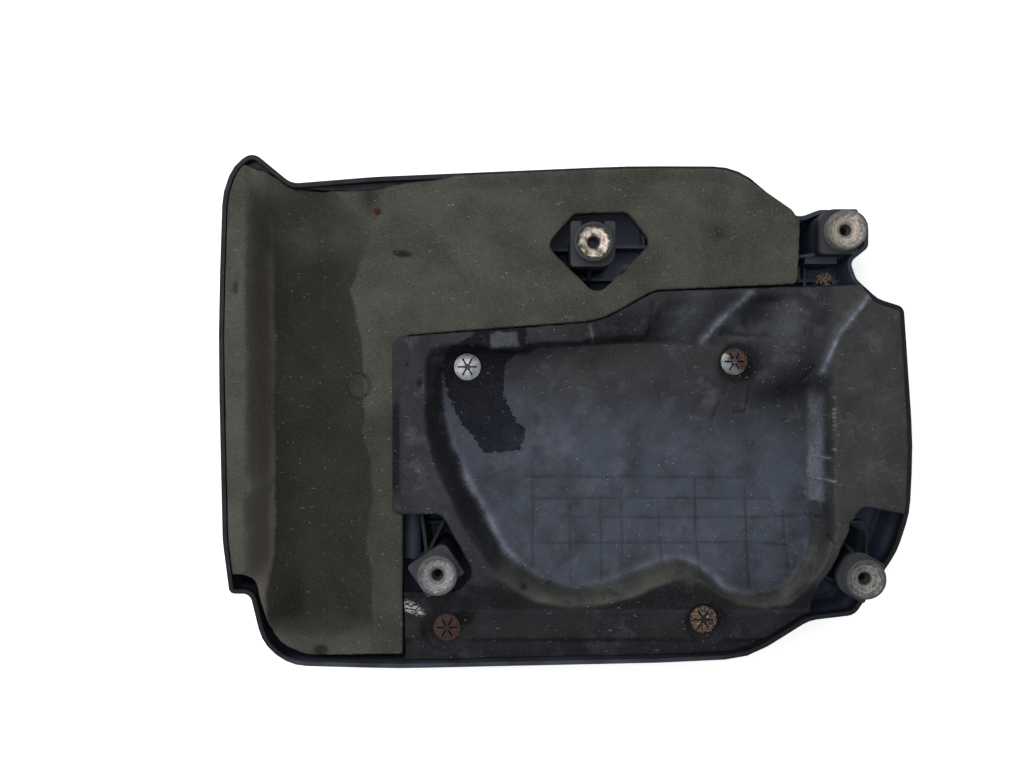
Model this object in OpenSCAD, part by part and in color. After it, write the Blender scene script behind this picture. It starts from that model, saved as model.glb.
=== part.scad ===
// Engine cover lying on its outer face, engine side up: a moulded cover body with four socket
// towers, an acoustic foam mat, a moulded acoustic pad, ball socket grommets and push nuts.
// X runs left to right, Y front to back, Z up; millimetres.

/* [Cover body] */
// Length of the rim, left to right
cover_l = 450.4; // [400:0.2:540]
// Width of the rim, front to back
cover_w = 333; // [300:1:400]
// Height of the rim over the face the cover lies on
rim_z = 60; // [50:1:72]
// Wall and floor thickness of the moulding
wall = 2.8; // [2.2:0.1:3.4]
// How far the outer face is rounded in from the sides
shoulder_in = 34; // [24:1:42]
// How high the rounding of the outer face reaches up the sides
shoulder_h = 18; // [14:1:22]
// How much the side walls lean in from the rim down
draft = 3; // [1:0.5:5]
// How much lower the rim is around the lug of the back right tower
lug_drop = 14; // [8:1:18]
// Thickness of the webs and fins
web_t = 2; // [1.5:0.1:2.6]

/* [Socket towers] */
// Place of the back left tower, from the middle of the back edge
tower_bl = [17.4, -58]; // [-80:0.1:80]
// Place of the back right tower, from the back right corner
tower_br = [-46.7, -50.3]; // [-80:0.1:0]
// Place of the front left tower, from the front left corner
tower_fl = [142.8, 62.4]; // [0:0.1:160]
// Place of the front right tower, from the front right corner
tower_fr = [-34.5, 60]; // [-80:0.1:80]
// Width of a holder plate, across its slot
holder_w = 28.7; // [27.6:0.1:34]
// How far a holder plate reaches behind the axis of its socket
holder_l = 14.8; // [14:0.1:18]
// How far the arms of the back left holder plate reach past the axis of its socket
long_arm = 14.3; // [11:0.1:16]
// How far the arms of the other holder plates reach past the axis
short_arm = 9.5; // [8:0.1:10.8]
// Width of the mouth of the slot between the arms
slot_mouth = 15.4; // [14:0.1:16.8]
// Thickness of a holder plate
holder_t = 3.5; // [2.9:0.1:4.2]
// Height of the top of the holder plates over the rim
holder_up = 7.5; // [7.2:0.1:9]
// How far the column of a tower reaches past the axis of its socket, on the slot side
column_out = 3; // [0:0.5:5]

/* [Socket grommets] */
// Outer diameter of a grommet
grommet_d = 25.5; // [23:0.1:27]
// Height of a grommet over its holder plate
grommet_h = 10.8; // [9.5:0.1:13]
// Diameter of the groove that sits in the slot of the holder
neck_d = 20; // [17:0.1:21]
// Diameter of the flange under the holder plate
foot_d = 24; // [22:0.1:24.4]
// Thickness of the flange under the holder plate
foot_t = 2.6; // [2.2:0.1:3]
// Diameter of the mouth
mouth_d = 21.2; // [18:0.1:21.5]
// Depth of the funnel that leads the ball in
funnel_h = 6; // [5:0.1:7]
// Diameter of the bore that grips the ball
ball_d = 7.2; // [6.2:0.1:9]
// Diameter of the vent hole
vent_d = 4.6; // [3:0.1:5.6]
// Play around the neck in its slot
neck_play = 0.2; // [0.1:0.05:0.4]

/* [Foam mat] */
// Thickness of the foam
mat_t = 12; // [9:0.5:14]
// How far the flat part of the mat lies under the rim
mat_under = 3; // [2:0.5:5]
// Depth of the trough along the left side
trough_h = 26; // [20:0.5:30]
// Width of the strip that stays high along the left rim
strip_w = 17; // [14:0.5:20]
// Rise of that strip over the flat part
strip_up = 2.5; // [1:0.5:3]
// Width of the trough, from the strip to the foot of its right slope
trough_w = 46; // [36:1:54]
// Width of the right slope of the trough
slope_w = 40; // [32:1:46]
// Play between the mat and the wall of the cover
mat_play = 1.2; // [1:0.1:2]

/* [Moulded pad] */
// Thickness of the pad in the basin
pad_t = 7; // [6:0.5:9]
// Thickness of its flange
flange_t = 5; // [4:0.5:6]
// Depth of the basin under the flange
basin_h = 21; // [17:0.5:24]
// How much lower the front flange is
front_drop = 8; // [6:0.5:10]
// How far the flange laps over the mat
pad_lap = 6.7; // [4:0.5:9]
// Slit between the back edge of the pad and the mat
seam_slit = 1.2; // [0.8:0.1:2]
// Play between pieces that lie on each other
rest_play = 0.2; // [0.1:0.05:0.3]

/* [Push nuts] */
// Diameter of the push nuts on the pad
nut_d = 17.7; // [15:0.1:21]
// Diameter of their studs
stud_d = 3.8; // [3.4:0.1:5]
// Diameter of the push nuts on the mat
mat_nut_d = 9; // [7.5:0.5:11]
// Diameter of their studs
mat_stud_d = 3; // [2.4:0.1:3.6]
// Sheet thickness of the push nuts
nut_t = 0.8; // [0.6:0.1:1]
// Rise of the spring tongues of a push nut
nut_rise = 1.3; // [1.1:0.1:2]
// Width of the slots between the tongues
nut_slot = 1; // [0.7:0.1:1.2]
// Play between a stud and the tongues of its push nut
stud_play = 0.05; // [0.02:0.01:0.1]
// How far a stud stands out of its push nut
stud_out = 1.6; // [1:0.1:2.4]
// Diameter of the posts that carry the studs
post_d = 9; // [7.5:0.5:10.5]

/* [Hidden] */

// Edges of the rim
left = -cover_l / 2;
right = cover_l / 2;
front = -cover_w / 2;
back = cover_w / 2;

// Heights
holder_z = rim_z + holder_up;
socket_z = holder_z + grommet_h;
mat_z = rim_z - mat_under;
flange_z = mat_z + rest_play + flange_t;
floor_z = flange_z - basin_h;
front_z = flange_z - front_drop;
plate_z = holder_z - holder_t - 2;
// under the flat part of the mat, halfway up, and under the trough of the mat
under_z = mat_z - mat_t - rest_play;
half_z = under_z * 0.65;
bed_z = mat_z - trough_h - mat_t - rest_play;

// Axes of the towers, each with the direction in which its slot opens
sockets = [
    [tower_bl.x, back + tower_bl.y, 90],
    [right + tower_br.x, back + tower_br.y, 0],
    [left + tower_fl.x, front + tower_fl.y, -56],
    [right + tower_fr.x, front + tower_fr.y, -30]];

// ---- Outlines: corners [x, y, radius], counter-clockwise ----
function unit(v) = v / norm(v);
function cross2(a, b) = a.x * b.y - a.y * b.x;
function flat(p) = [p.x, p.y];
function smooth(t) = let (u = min(1, max(0, t))) u * u * (3 - 2 * u);
function ramp(v, from, to) = smooth((v - from) / (to - from));

// The arc that rounds corner i of an outline moved inward by d
function corner_arc(c, i, d) =
    let (n = len(c),
         p = flat(c[i]),
         before = p - flat(c[(i + n - 1) % n]),
         after = flat(c[(i + 1) % n]) - p,
         a = unit(before),
         b = unit(after),
         turn = atan2(cross2(a, b), a * b),
         side = turn < 0 ? -1 : 1,
         na = [-a.y, a.x],
         nb = [-b.y, b.x],
         q = p + d * (na + nb) / (1 + na * nb),
         wanted = max(0.3, c[i][2] - side * d),
         room = 0.49 * min(norm(before), norm(after)) / tan(abs(turn) / 2),
         r = min(wanted, room),
         centre = q - a * r * tan(abs(turn) / 2) + na * side * r,
         steps = max(2, ceil(abs(turn) / 15)))
    [for (k = [0 : steps])
        let (w = turn * k / steps)
        centre - side * r * [na.x * cos(w) - na.y * sin(w), na.x * sin(w) + na.y * cos(w)]];

function outline(c, d = 0) = [for (i = [0 : len(c) - 1]) each corner_arc(c, i, d)];

// Nearest crossing of an outline with the ray from o in direction w, no further than far
function ray(points, o, w, far) =
    let (n = len(points), u = [cos(w), sin(w)])
    min([far, for (i = [0 : n - 1])
        let (a = points[i] - o,
             s = points[(i + 1) % n] - points[i],
             k = cross2(u, s),
             t = abs(k) < 1e-9 ? -1 : cross2(a, s) / k,
             e = abs(k) < 1e-9 ? -1 : cross2(a, u) / k)
        if (t > 0 && e >= 0 && e <= 1) t]);

// Rim of the cover body: a horn at the back left, a step at the front left, a lug at the back right
lug = flat(sockets[1]);
rim = [
    [left + 6.8, front + 48, 4],
    [left + 20.2, front + 48, 6],
    [left + 28.1, front + 15.5, 30],
    [left + 46.3, front + 1.3, 32],
    [-109, front - 0.5, 700],
    [61, front + 3.2, 600],
    [right - 106.4, front + 5.9, 58],
    [right - 66.7, front + 30.7, 22],
    [right - 37.2, front + 34.2, 10],
    [right - 9.7, front + 75.5, 50],
    [right - 1.4, front + 100.5, 60],
    [right + 0.8, front + 144.5, 300],
    [right - 5.2, back - 98.5, 6],
    [right - 24.7, back - 92.5, 16],
    [lug.x + 14.5, lug.y - 29, 22],
    [lug.x + 10.5, lug.y - 17.5, 5],
    [lug.x + 22.5, lug.y - 8, 6],
    [lug.x + 22.5, lug.y + 16.5, 13],
    [lug.x - 10, lug.y + 17, 12],
    [lug.x - 24, lug.y + 11.5, 10],
    [right - 116, back - 7.2, 42],
    [41, back - 6.9, 900],
    [-124, back - 13.9, 300],
    [left + 47.2, back - 18.3, 12],
    [left + 21.7, back + 2.7, 8.5],
    [left + 9.6, back - 6.4, 24],
    [left + 2.3, back - 23.3, 60],
    [left - 0.7, back - 116.5, 1500],
    [left + 2.3, front + 82.5, 90]];

// Opening of the mat around the back left tower
window = let (o = flat(sockets[0])) [
    [o.x - 30, o.y, 7], [o.x + 3.5, o.y - 33.5, 9], [o.x + 39.5, o.y + 2, 7],
    [o.x + 23.5, o.y + 22, 6], [o.x - 11.5, o.y + 21, 6]];

// Line between the pad and the mat, left to right, before its corners are rounded
seam = [[left + 112.6, back - 118], [23, back - 108], [58, back - 88.2], [right - 32.7, back - 84]];
lap_x = seam[0].x + pad_lap;
mat_edge = [
    [left - 20, front + 60.4, 1], [left + 21.2, front + 60.4, 12], [left + 36.2, front + 6.8, 36],
    [lap_x, front + 8, 2], [lap_x, seam[0].y - 4, 3],
    [lap_x + 4, seam[0].y + seam_slit + 0.5, 3],
    [seam[1].x, seam[1].y + seam_slit, 50], [seam[2].x, seam[2].y + seam_slit, 25],
    [lug.x - 26.7, seam[3].y + seam_slit, 4], [lug.x - 24.5, lug.y + 12, 6],
    [lug.x - 60, back + 60, 1],
    // it leaves the horn of the rim free
    [left + 62, back + 60, 1], [left + 49.2, back - 19.7, 6], [left + 31.7, back - 10.3, 30],
    [left - 20, back + 5.6, 1]];
pad_edge = let (d = flat(sockets[3])) [
    [seam[0].x, front + 101, 3], [lap_x + 0.6, front + 100, 1], [lap_x + 0.6, front - 20, 1],
    [d.x - 27.5, front - 20, 1], [d.x - 30, front + 42, 4], [d.x - 13, d.y + 15.5, 14],
    [d.x + 3, d.y + 44.5, 10], [right + 20, d.y + 41.5, 2], [right + 20, seam[3].y, 2],
    [seam[3].x, seam[3].y, 6], [seam[2].x, seam[2].y, 25], [seam[1].x, seam[1].y, 50],
    [seam[0].x, seam[0].y, 9]];
// Cut-out of the pad around the front left tower
notch = let (o = flat(sockets[2])) [
    [o.x - 50, o.y - 14, 1], [o.x + 12, o.y - 13, 8], [o.x + 23, o.y - 1, 7],
    [o.x + 2.5, o.y + 37.6, 9], [o.x - 50, o.y + 37.6, 1]];

// Middle of the basin, its brink and the foot of its walls
basin = [55, back - 198];
brink = [
    [basin.x - 85, basin.y - 88, 60], [basin.x - 22, basin.y - 104, 40],
    [basin.x + 26, basin.y - 84, 25], [basin.x + 62, basin.y - 104, 24],
    [basin.x + 106, basin.y - 90, 30], [basin.x + 128, basin.y - 20, 60],
    [basin.x + 124, basin.y + 64, 26], [basin.x + 72, basin.y + 92, 30],
    [basin.x + 2, basin.y + 86, 14], [basin.x - 8, basin.y + 76, 14],
    [basin.x - 142, basin.y + 73, 12], [basin.x - 137, basin.y - 6, 60]];
foot_in = 11;

// ---- Heights of the soft pieces ----
// Top of the mat: a strip along the left rim, a trough beside it, the rest flat
function trough(x, y) =
    let (a = left + strip_w, b = a + trough_w)
    ramp(x, a, a + 12) * (1 - ramp(x, b, b + slope_w))
    * ramp(y, front + 18, front + 32) * (1 - ramp(y, back - 40, back - 27))
    // it runs out toward the step of the rim
    * (1 - (1 - ramp(x, a + 10, a + 36)) * (1 - ramp(y, front + 46, front + 74)));
function mat_top(x, y) =
    mat_z + strip_up * (1 - ramp(x, left + strip_w - 2, left + strip_w + 5))
    - trough_h * trough(x, y);
function mat_below(x, y) =
    min([for (s = [-6, 0, 6]) min(mat_top(x + s, y), mat_top(x, y + s))]) - mat_t;

// Top of the flange of the pad: lower at the front, with a raised tongue at the back
function flange_top(p) =
    flange_z - front_drop * (1 - ramp(p.y, front + 38, front + 50))
    - 3 * (1 - ramp(p.y, front + 15, front + 20))
    + 2 * ramp(p.x, basin.x, basin.x + 8) * (1 - ramp(p.x, basin.x + 50, basin.x + 58))
        * ramp(p.y, basin.y + 76, basin.y + 84);

// Stud places on the pad, each with the height its push nut seats at
pad_studs = [
    [left + 160.8, back - 137.2, floor_z - 0.5],
    [right - 112.2, back - 133.6, floor_z - 0.5],
    [left + 147.8, front + 24.6, front_z - 3],
    [right - 134.4, front + 30, front_z - 3]];
// Stud places on the mat
mat_studs = [
    [left + 102.5, back - 36.4], [right - 125.7, back - 49.4], [left + 81.5, front + 54]];
function mat_seat(p) = mat_top(p.x, p.y) - 3.5;

// ---- Solids from rings of points ----
// Faces of a loft through m rings of n points each, closed by a middle point at both ends
function loft_faces(n, m) = let (first = n * m, last = n * m + 1) [
    for (i = [0 : n - 1]) [first, i, (i + 1) % n],
    for (j = [0 : m - 2]) for (i = [0 : n - 1])
        let (a = n * j + i, b = n * j + (i + 1) % n)
        each [[a, a + n, b + n], [a, b + n, b]],
    for (i = [0 : n - 1]) [last, n * (m - 1) + (i + 1) % n, n * (m - 1) + i]];

module loft(rings, first, last) {
    n = len(rings[0]);
    polyhedron(points = [for (r = rings) each r, first, last], faces = loft_faces(n, len(rings)));
}

// A sheet over a grid, between the heights top(x, y) and under(x, y)
module sheet(xs, ys, top, under) {
    w = len(xs);
    h = len(ys);
    n = w * h;
    around = concat([for (i = [0 : w - 1]) i], [for (j = [1 : h - 1]) j * w + w - 1],
        [for (i = [w - 2 : -1 : 0]) (h - 1) * w + i], [for (j = [h - 2 : -1 : 1]) j * w]);
    m = len(around);
    polyhedron(
        points = concat([for (y = ys) for (x = xs) [x, y, top(x, y)]],
            [for (y = ys) for (x = xs) [x, y, under(x, y)]]),
        faces = concat(
            [for (j = [0 : h - 2]) for (i = [0 : w - 2])
                let (a = j * w + i)
                each [[a, a + w, a + w + 1], [a, a + w + 1, a + 1]]],
            [for (j = [0 : h - 2]) for (i = [0 : w - 2])
                let (a = n + j * w + i)
                each [[a, a + w + 1, a + w], [a, a + 1, a + w + 1]]],
            [for (k = [0 : m - 1])
                let (a = around[k], b = around[(k + 1) % m])
                each [[a, b, b + n], [a, b + n, a + n]]]));
}

// ---- Cover body ----
// Height of the rim, which dips around the lug
function rim_at(p) = rim_z - lug_drop * (1 - ramp(norm(flat(p) - lug), 30, 46));

// One ring of the body, narrowed by s all round
function narrowed(points, s, z) =
    [for (p = points) [p.x * (1 - 2 * s / cover_l), p.y * (1 - 2 * s / cover_w), z]];

// Rings up the rounded outer face, moved inward by d and lifted by up to lift
function side_rings(d, lift) =
    let (points = outline(rim, d))
    [for (w = [0 : 22.5 : 90])
        let (z = shoulder_h * (1 - cos(w)))
        narrowed(points, draft * (1 - z / rim_z) + shoulder_in * (1 - sin(w)), z + lift * cos(w))];

function turned_back(v) = [for (i = [len(v) - 1 : -1 : 0]) v[i]];

module bowl() {
    lip_out = [for (p = outline(rim)) [p.x, p.y, rim_at(p)]];
    lip_in = [for (p = outline(rim, wall)) [p.x, p.y, rim_at(p)]];
    loft(concat(side_rings(0, 0), [lip_out, lip_in], turned_back(side_rings(wall, wall))),
        [0, 0, 0], [11, -20, wall]);
}

// Space that the towers, posts and webs may fill: down to mid-wall, and free above the rim
module reach() {
    loft(concat(side_rings(wall / 2, wall / 2),
            [narrowed(outline(rim, wall / 2), 0, rim_z - lug_drop - 1)],
            [for (z = [rim_z - lug_drop + 8, rim_z + 60])
                narrowed(outline(rim, wall / 2), -24, z)]),
        [0, 0, wall / 2], [0, 0, rim_z + 60]);
}

// Upright web from p to q, with its top at heights a and b
module web(p, q, a, b, t = web_t) {
    s = q - p;
    translate([p.x, p.y, 0])
        rotate([90, 0, atan2(s.y, s.x)])
            linear_extrude(t, center = true)
                polygon([[0, 0.5], [norm(s), 0.5], [norm(s), b], [0, a]]);
}

// Rounded block of a tower: its slot opens toward +X between two arms, and the radii of its
// corners behind the axis are cut[0] on the right of the slot and cut[1] on the left
module tower_block(w, arm, cut, z) {
    linear_extrude(z)
        polygon(outline([[-holder_l, -w / 2, cut[0]], [arm, -w / 2, 1.5], [arm, w / 2, 1.5],
            [-holder_l, w / 2, cut[1]]]));
}

// Holder plate on its column; each fin is [start, end, height at the start, at the end], with
// the places seen from the axis of the socket
module tower(s, arm, cut, fins) {
    foot_room = foot_d + 2 * neck_play;
    translate([s.x, s.y, 0])
        rotate(s[2])
            difference() {
                tower_block(holder_w, arm, cut, holder_z);
                // hollow of the column, open on the slot side
                translate([-foot_room / 2, -foot_room / 2, 0])
                    cube([holder_l + arm, foot_room, holder_z - holder_t]);
                // the plate stands out over the column on the slot side
                translate([column_out, -holder_w, 0])
                    cube([holder_l + arm, 2 * holder_w, holder_z - holder_t]);
                // slot for the neck, which narrows to its mouth
                translate([0, 0, holder_z - holder_t - 1])
                    cylinder(d = neck_d + 2 * neck_play, h = holder_t + 2, $fn = 64);
                translate([0, -slot_mouth / 2, holder_z - holder_t - 1])
                    cube([holder_l + arm, slot_mouth, holder_t + 2]);
            }
    for (f = fins)
        web(flat(s) + f[0], flat(s) + f[1], f[2], f[3]);
}

// Post with the stud of a push nut
module post(p, shoulder, seat, d) {
    translate([p.x, p.y, 0])
        cylinder(d = post_d, h = shoulder, $fn = 32);
    translate([p.x, p.y, shoulder - 2])
        cylinder(d = d, h = seat + nut_rise + stud_out - shoulder + 2, $fn = 32);
    for (w = [45 : 90 : 315])
        web(flat(p), flat(p) + post_d * [cos(w), sin(w)], shoulder - 9, shoulder / 3);
}

// Half-round ridge of the floor beside the front left tower
module ridge(s) {
    r = 6;
    translate([s.x - 19, s.y + 6, under_z - r - 3])
        rotate([-90, 0, 0])
            cylinder(r = r, h = 56, $fn = 40);
    translate([s.x - 19 - r, s.y + 6, 0])
        cube([2 * r, 56, under_z - r - 3]);
}

// Lowest underside of the mat over a post
function mat_shoulder(p) =
    min([for (w = [0 : 45 : 315])
        mat_below(p.x + post_d / 2 * cos(w), p.y + post_d / 2 * sin(w))]) - rest_play;

module cover_body() {
    color([0.13, 0.13, 0.16])
        union() {
            bowl();
            intersection() {
                reach();
                union() {
                    tower(sockets[0], long_arm, [9, 2.5],
                        [[[-1, -14], [-1, -25], plate_z, half_z],
                            [[13, 2], [60, 2], half_z, half_z],
                            [[-13, 0], [-60, 0], half_z, half_z]]);
                    tower(sockets[1], short_arm, [2.5, 9],
                        [[[-13, -13], [-25, -14.5], under_z + 6, under_z + 4],
                            [[-19.6, -14], [-19.6, -28], half_z, half_z]]);
                    tower(sockets[2], short_arm, [2.5, 5],
                        [[[-7.5, 11], [-12.4, 39], plate_z, under_z + 3],
                            [[-7.5, 11], [3, 33], plate_z, under_z + 5],
                            [[-13, 0], [-21, 0], under_z, half_z]]);
                    tower(sockets[3], short_arm, [11, 11],
                        [[[-2.4, 13], [-10, 23.5], plate_z, under_z + 4],
                            [[-12.5, -6], [-20, -2.5], under_z + 6, under_z],
                            [[-12.5, -6], [-3.5, -13.5], under_z + 6, under_z],
                            [[4.5, 12], [7.5, 27], plate_z, under_z + 6]]);
                    // sill in front of the back right tower
                    translate([sockets[1].x - 20, sockets[1].y - 19, 0])
                        cube([21, 6, under_z + 3]);
                    ridge(sockets[2]);
                    for (p = pad_studs)
                        post(p, p[2] > floor_z ? front_z - 3 - pad_t - rest_play
                            : floor_z - pad_t - rest_play, p[2], stud_d);
                    for (p = mat_studs)
                        post(p, mat_shoulder(p), mat_seat(p), mat_stud_d);
                    // long webs that stiffen the floor
                    for (y = [back - 78, basin.y, front + 90])
                        web([left + 20, y], [right - 20, y], bed_z, bed_z);
                    for (x = [left + 92, basin.x, right - 60])
                        web([x, front + 16], [x, back - 16], bed_z, bed_z);
                    // high web under the back of the mat, seen through its window
                    web([lap_x, back - 78], [lug.x - 40, back - 78], half_z, half_z);
                }
            }
        }
}

// ---- Foam mat ----
module foam_mat() {
    a = left + strip_w;
    b = a + trough_w;
    xs = concat([left - 2, a - 9, a - 5], [for (k = [0 : 6]) a - 2 + 2.5 * k], [a + 18, a + 23, a + 29, a + 36],
        [for (k = [0 : 8]) b + slope_w * k / 8], [b + slope_w + 8, lug.x - 20]);
    ys = concat([front], [for (k = [0 : 5]) front + 13 + 3.6 * k],
        [for (k = [0 : 6]) front + 39 + 6 * k], [0, back - 60],
        [for (k = [0 : 5]) back - 44 + 3.6 * k], [back + 2]);
    color([0.27, 0.27, 0.25])
        difference() {
            intersection() {
                sheet(xs, ys, function (x, y) mat_top(x, y), function (x, y) mat_below(x, y));
                linear_extrude(rim_z + 20)
                    polygon(outline(rim, wall + mat_play));
                linear_extrude(rim_z + 20)
                    polygon(outline(mat_edge));
            }
            translate([0, 0, -1])
                linear_extrude(rim_z + 20)
                    polygon(outline(window));
            for (p = mat_studs) {
                translate([p.x, p.y, 0])
                    cylinder(d = mat_stud_d + 1, h = mat_seat(p) + 1, $fn = 24);
                translate([p.x, p.y, mat_seat(p)])
                    cylinder(d = mat_nut_d + 3, h = 20, $fn = 32);
            }
        }
}

// ---- Moulded pad ----
// Ring of the pad at t: 0 is its edge, 1 the brink of the basin, 2 the foot of the wall
function pad_point(w, t, grow) =
    let (hull_r = min(ray(PAD_EDGE, basin, w, 400), ray(PAD_RIM, basin, w, 400)),
         brink_r = min(hull_r - 6, ray(BRINK, basin, w, 400) + grow),
         r = t < 1 ? hull_r + t * (brink_r - hull_r) : brink_r - (t - 1) * foot_in)
    basin + r * [cos(w), sin(w)];
PAD_EDGE = outline(pad_edge);
PAD_RIM = outline(rim, wall + mat_play);
BRINK = outline(brink);
pad_step = 3;

function pad_ring(t, grow, down) =
    [for (w = [0 : pad_step : 359])
        let (p = pad_point(w, t, grow),
             z = flange_top(p),
             k = smooth(t - 1))
        [p.x, p.y, z - (z - floor_z) * k - down]];

module moulded_pad() {
    top = [for (t = [0, 0.35, 0.7, 1, 1.25, 1.5, 1.75, 2]) pad_ring(t, 0, 0)];
    under = [for (t = [0, 0.35, 0.7, 1, 1.25, 1.5, 1.75, 2])
        pad_ring(t, flange_t, flange_t + (pad_t - flange_t) * ramp(t, 0.7, 2))];
    color([0.24, 0.25, 0.27])
        difference() {
            loft(concat(turned_back(under), top),
                [basin.x, basin.y, floor_z - pad_t], [basin.x, basin.y, floor_z]);
            translate([0, 0, -1])
                linear_extrude(rim_z + 20)
                    polygon(outline(notch));
            for (p = pad_studs) {
                translate([p.x, p.y, 0])
                    cylinder(d = stud_d + 1, h = rim_z + 20, $fn = 24);
                translate([p.x, p.y, p[2]])
                    cylinder(d1 = nut_d + 1, d2 = nut_d + 5, h = 14, $fn = 40);
            }
        }
}

// ---- Socket grommets ----
module grommet(s) {
    r = grommet_d / 2;
    seat_z = holder_z + rest_play;
    under_z = holder_z - holder_t - rest_play;
    top_z = socket_z;
    lip = 1.2;
    translate([s.x, s.y, 0])
        color([0.5, 0.49, 0.46])
            rotate_extrude($fn = 72)
                polygon(concat(
                    [[vent_d / 2, under_z - foot_t], [foot_d / 2 - 1, under_z - foot_t],
                        [foot_d / 2, under_z - foot_t + 1], [foot_d / 2, under_z],
                        [neck_d / 2, under_z], [neck_d / 2, seat_z], [r - 0.6, seat_z],
                        [r, seat_z + 0.6]],
                    [for (w = [0 : 30 : 90]) [r - lip + lip * cos(w), top_z - lip + lip * sin(w)]],
                    [[mouth_d / 2 + 0.6, top_z], [mouth_d / 2, top_z - 0.5],
                        [mouth_d / 2 - 1.6, top_z - 3], [ball_d / 2 + 1.2, top_z - funnel_h + 1],
                        [ball_d / 2, top_z - funnel_h], [ball_d / 2, seat_z + 0.3],
                        [vent_d / 2, seat_z - 1.2]]));
}

// ---- Push nuts ----
module push_nut(p, seat, d, stud) {
    bore = stud + 2 * stud_play;
    slot = nut_slot * stud / stud_d;
    // a shallow dome from the stud to the edge
    dome = [for (k = [0 : 0.25 : 1])
        [bore / 2 + k * (d - bore) / 2, nut_rise * (1 - k * k)]];
    translate([p.x, p.y, seat])
        color([0.5, 0.47, 0.45])
            difference() {
                rotate_extrude($fn = 48)
                    polygon(concat(dome, [for (q = turned_back(dome)) [q.x, q.y + nut_t]]));
                for (w = [0 : 60 : 300])
                    rotate(w)
                        translate([0, -slot / 2, -1])
                            cube([d * 0.37, slot, nut_rise + nut_t + 2]);
            }
}

module pad_nut(i) {
    push_nut(pad_studs[i], pad_studs[i][2] + 0.05, nut_d, stud_d);
}

module mat_nut(i) {
    push_nut(mat_studs[i], mat_seat(mat_studs[i]) + 0.05, mat_nut_d, mat_stud_d);
}

cover_body();
foam_mat();
moulded_pad();
grommet(sockets[0]);  // grommet_back_left
grommet(sockets[1]);  // grommet_back_right
grommet(sockets[2]);  // grommet_front_left
grommet(sockets[3]);  // grommet_front_right
pad_nut(0);  // pad_nut_back_left
pad_nut(1);  // pad_nut_back_right
pad_nut(2);  // pad_nut_front_left
pad_nut(3);  // pad_nut_front_right
mat_nut(0);  // mat_nut_back_left
mat_nut(1);  // mat_nut_back_right
mat_nut(2);  // mat_nut_front_left
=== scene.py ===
"""Engine cover seen from its engine side: finishes, fine foam meshes and stage around the CAD frame."""
import math

import bmesh
import bpy
import numpy as np
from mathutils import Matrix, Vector, geometry, kdtree


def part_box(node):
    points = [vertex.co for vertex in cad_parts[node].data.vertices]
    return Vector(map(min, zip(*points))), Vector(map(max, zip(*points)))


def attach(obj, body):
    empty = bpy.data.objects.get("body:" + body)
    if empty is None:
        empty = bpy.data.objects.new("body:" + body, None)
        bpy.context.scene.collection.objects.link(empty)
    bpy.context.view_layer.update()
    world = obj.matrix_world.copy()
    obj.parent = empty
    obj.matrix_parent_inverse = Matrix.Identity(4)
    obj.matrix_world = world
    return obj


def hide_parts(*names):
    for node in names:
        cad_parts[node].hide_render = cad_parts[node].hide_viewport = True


bl_info = {
    "name": "Engine cover looks",
    "version": (1, 0, 0),
    "blender": (4, 5, 0),
    "location": "3D View > Sidebar > Engine cover",
    "description": "Foam pieces, finishes and studio stage for an engine cover",
    "category": "Object",
}

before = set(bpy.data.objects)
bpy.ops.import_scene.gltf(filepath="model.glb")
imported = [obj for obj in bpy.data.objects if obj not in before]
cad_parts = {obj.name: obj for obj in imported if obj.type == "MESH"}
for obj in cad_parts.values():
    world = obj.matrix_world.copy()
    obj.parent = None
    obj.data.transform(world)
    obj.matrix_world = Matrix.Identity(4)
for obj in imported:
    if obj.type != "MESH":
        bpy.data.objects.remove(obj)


def beside(tower, corners):
    """Corners given from the axis of a tower, as places on the cover."""
    return [(tower[0] + x, tower[1] + y, r) for x, y, r in corners]


# Sizes of the CAD source, in millimetres
LEFT, RIGHT, FRONT, BACK = -226.2, 224.2, -166.5, 166.5
WALL = 2.8
MAT_Z, MAT_T, STRIP_W, STRIP_UP = 57.0, 12.0, 17.0, 2.5
TROUGH_W, TROUGH_H, SLOPE_W = 46.0, 26.0, 40.0
FLANGE_Z, FLANGE_T, FLOOR_Z = 62.2, 5.0, 41.2
TOWER_BL, TOWER_BR, TOWER_FL, TOWER_FR = (16.4, 108.5), (177.5, 116.2), (-83.4, -104.1), (189.7, -106.5)
RIM = [
    (LEFT + 6.8, FRONT + 48, 4), (LEFT + 20.2, FRONT + 48, 6), (LEFT + 28.1, FRONT + 15.5, 30),
    (LEFT + 46.3, FRONT + 1.3, 32), (-110, FRONT - 0.5, 700), (60, FRONT + 3.2, 600),
    (RIGHT - 106.4, FRONT + 5.9, 58), (RIGHT - 66.7, FRONT + 30.7, 22), (RIGHT - 37.2, FRONT + 34.2, 10),
    (RIGHT - 9.7, FRONT + 75.5, 50), (RIGHT - 1.4, FRONT + 100.5, 60), (RIGHT + 0.8, FRONT + 144.5, 300),
    (RIGHT - 5.2, BACK - 98.5, 6), (RIGHT - 24.7, BACK - 92.5, 16),
    *beside(TOWER_BR, [
        (14.5, -29, 22), (10.5, -17.5, 5), (22.5, -8, 6), (22.5, 16.5, 13), (-10, 17, 12), (-24, 11.5, 10)]),
    (RIGHT - 116, BACK - 7.2, 42), (40, BACK - 6.9, 900), (-125, BACK - 13.9, 300),
    (LEFT + 47.2, BACK - 18.3, 12), (LEFT + 21.7, BACK + 2.7, 8.5), (LEFT + 9.6, BACK - 6.4, 24),
    (LEFT + 2.3, BACK - 23.3, 60), (LEFT - 0.7, BACK - 116.5, 1500), (LEFT + 2.3, FRONT + 82.5, 90)]
WINDOW = beside(TOWER_BL, [(-30, 0, 7), (3.5, -33.5, 9), (39.5, 2, 7), (23.5, 22, 6), (-11.5, 21, 6)])
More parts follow.
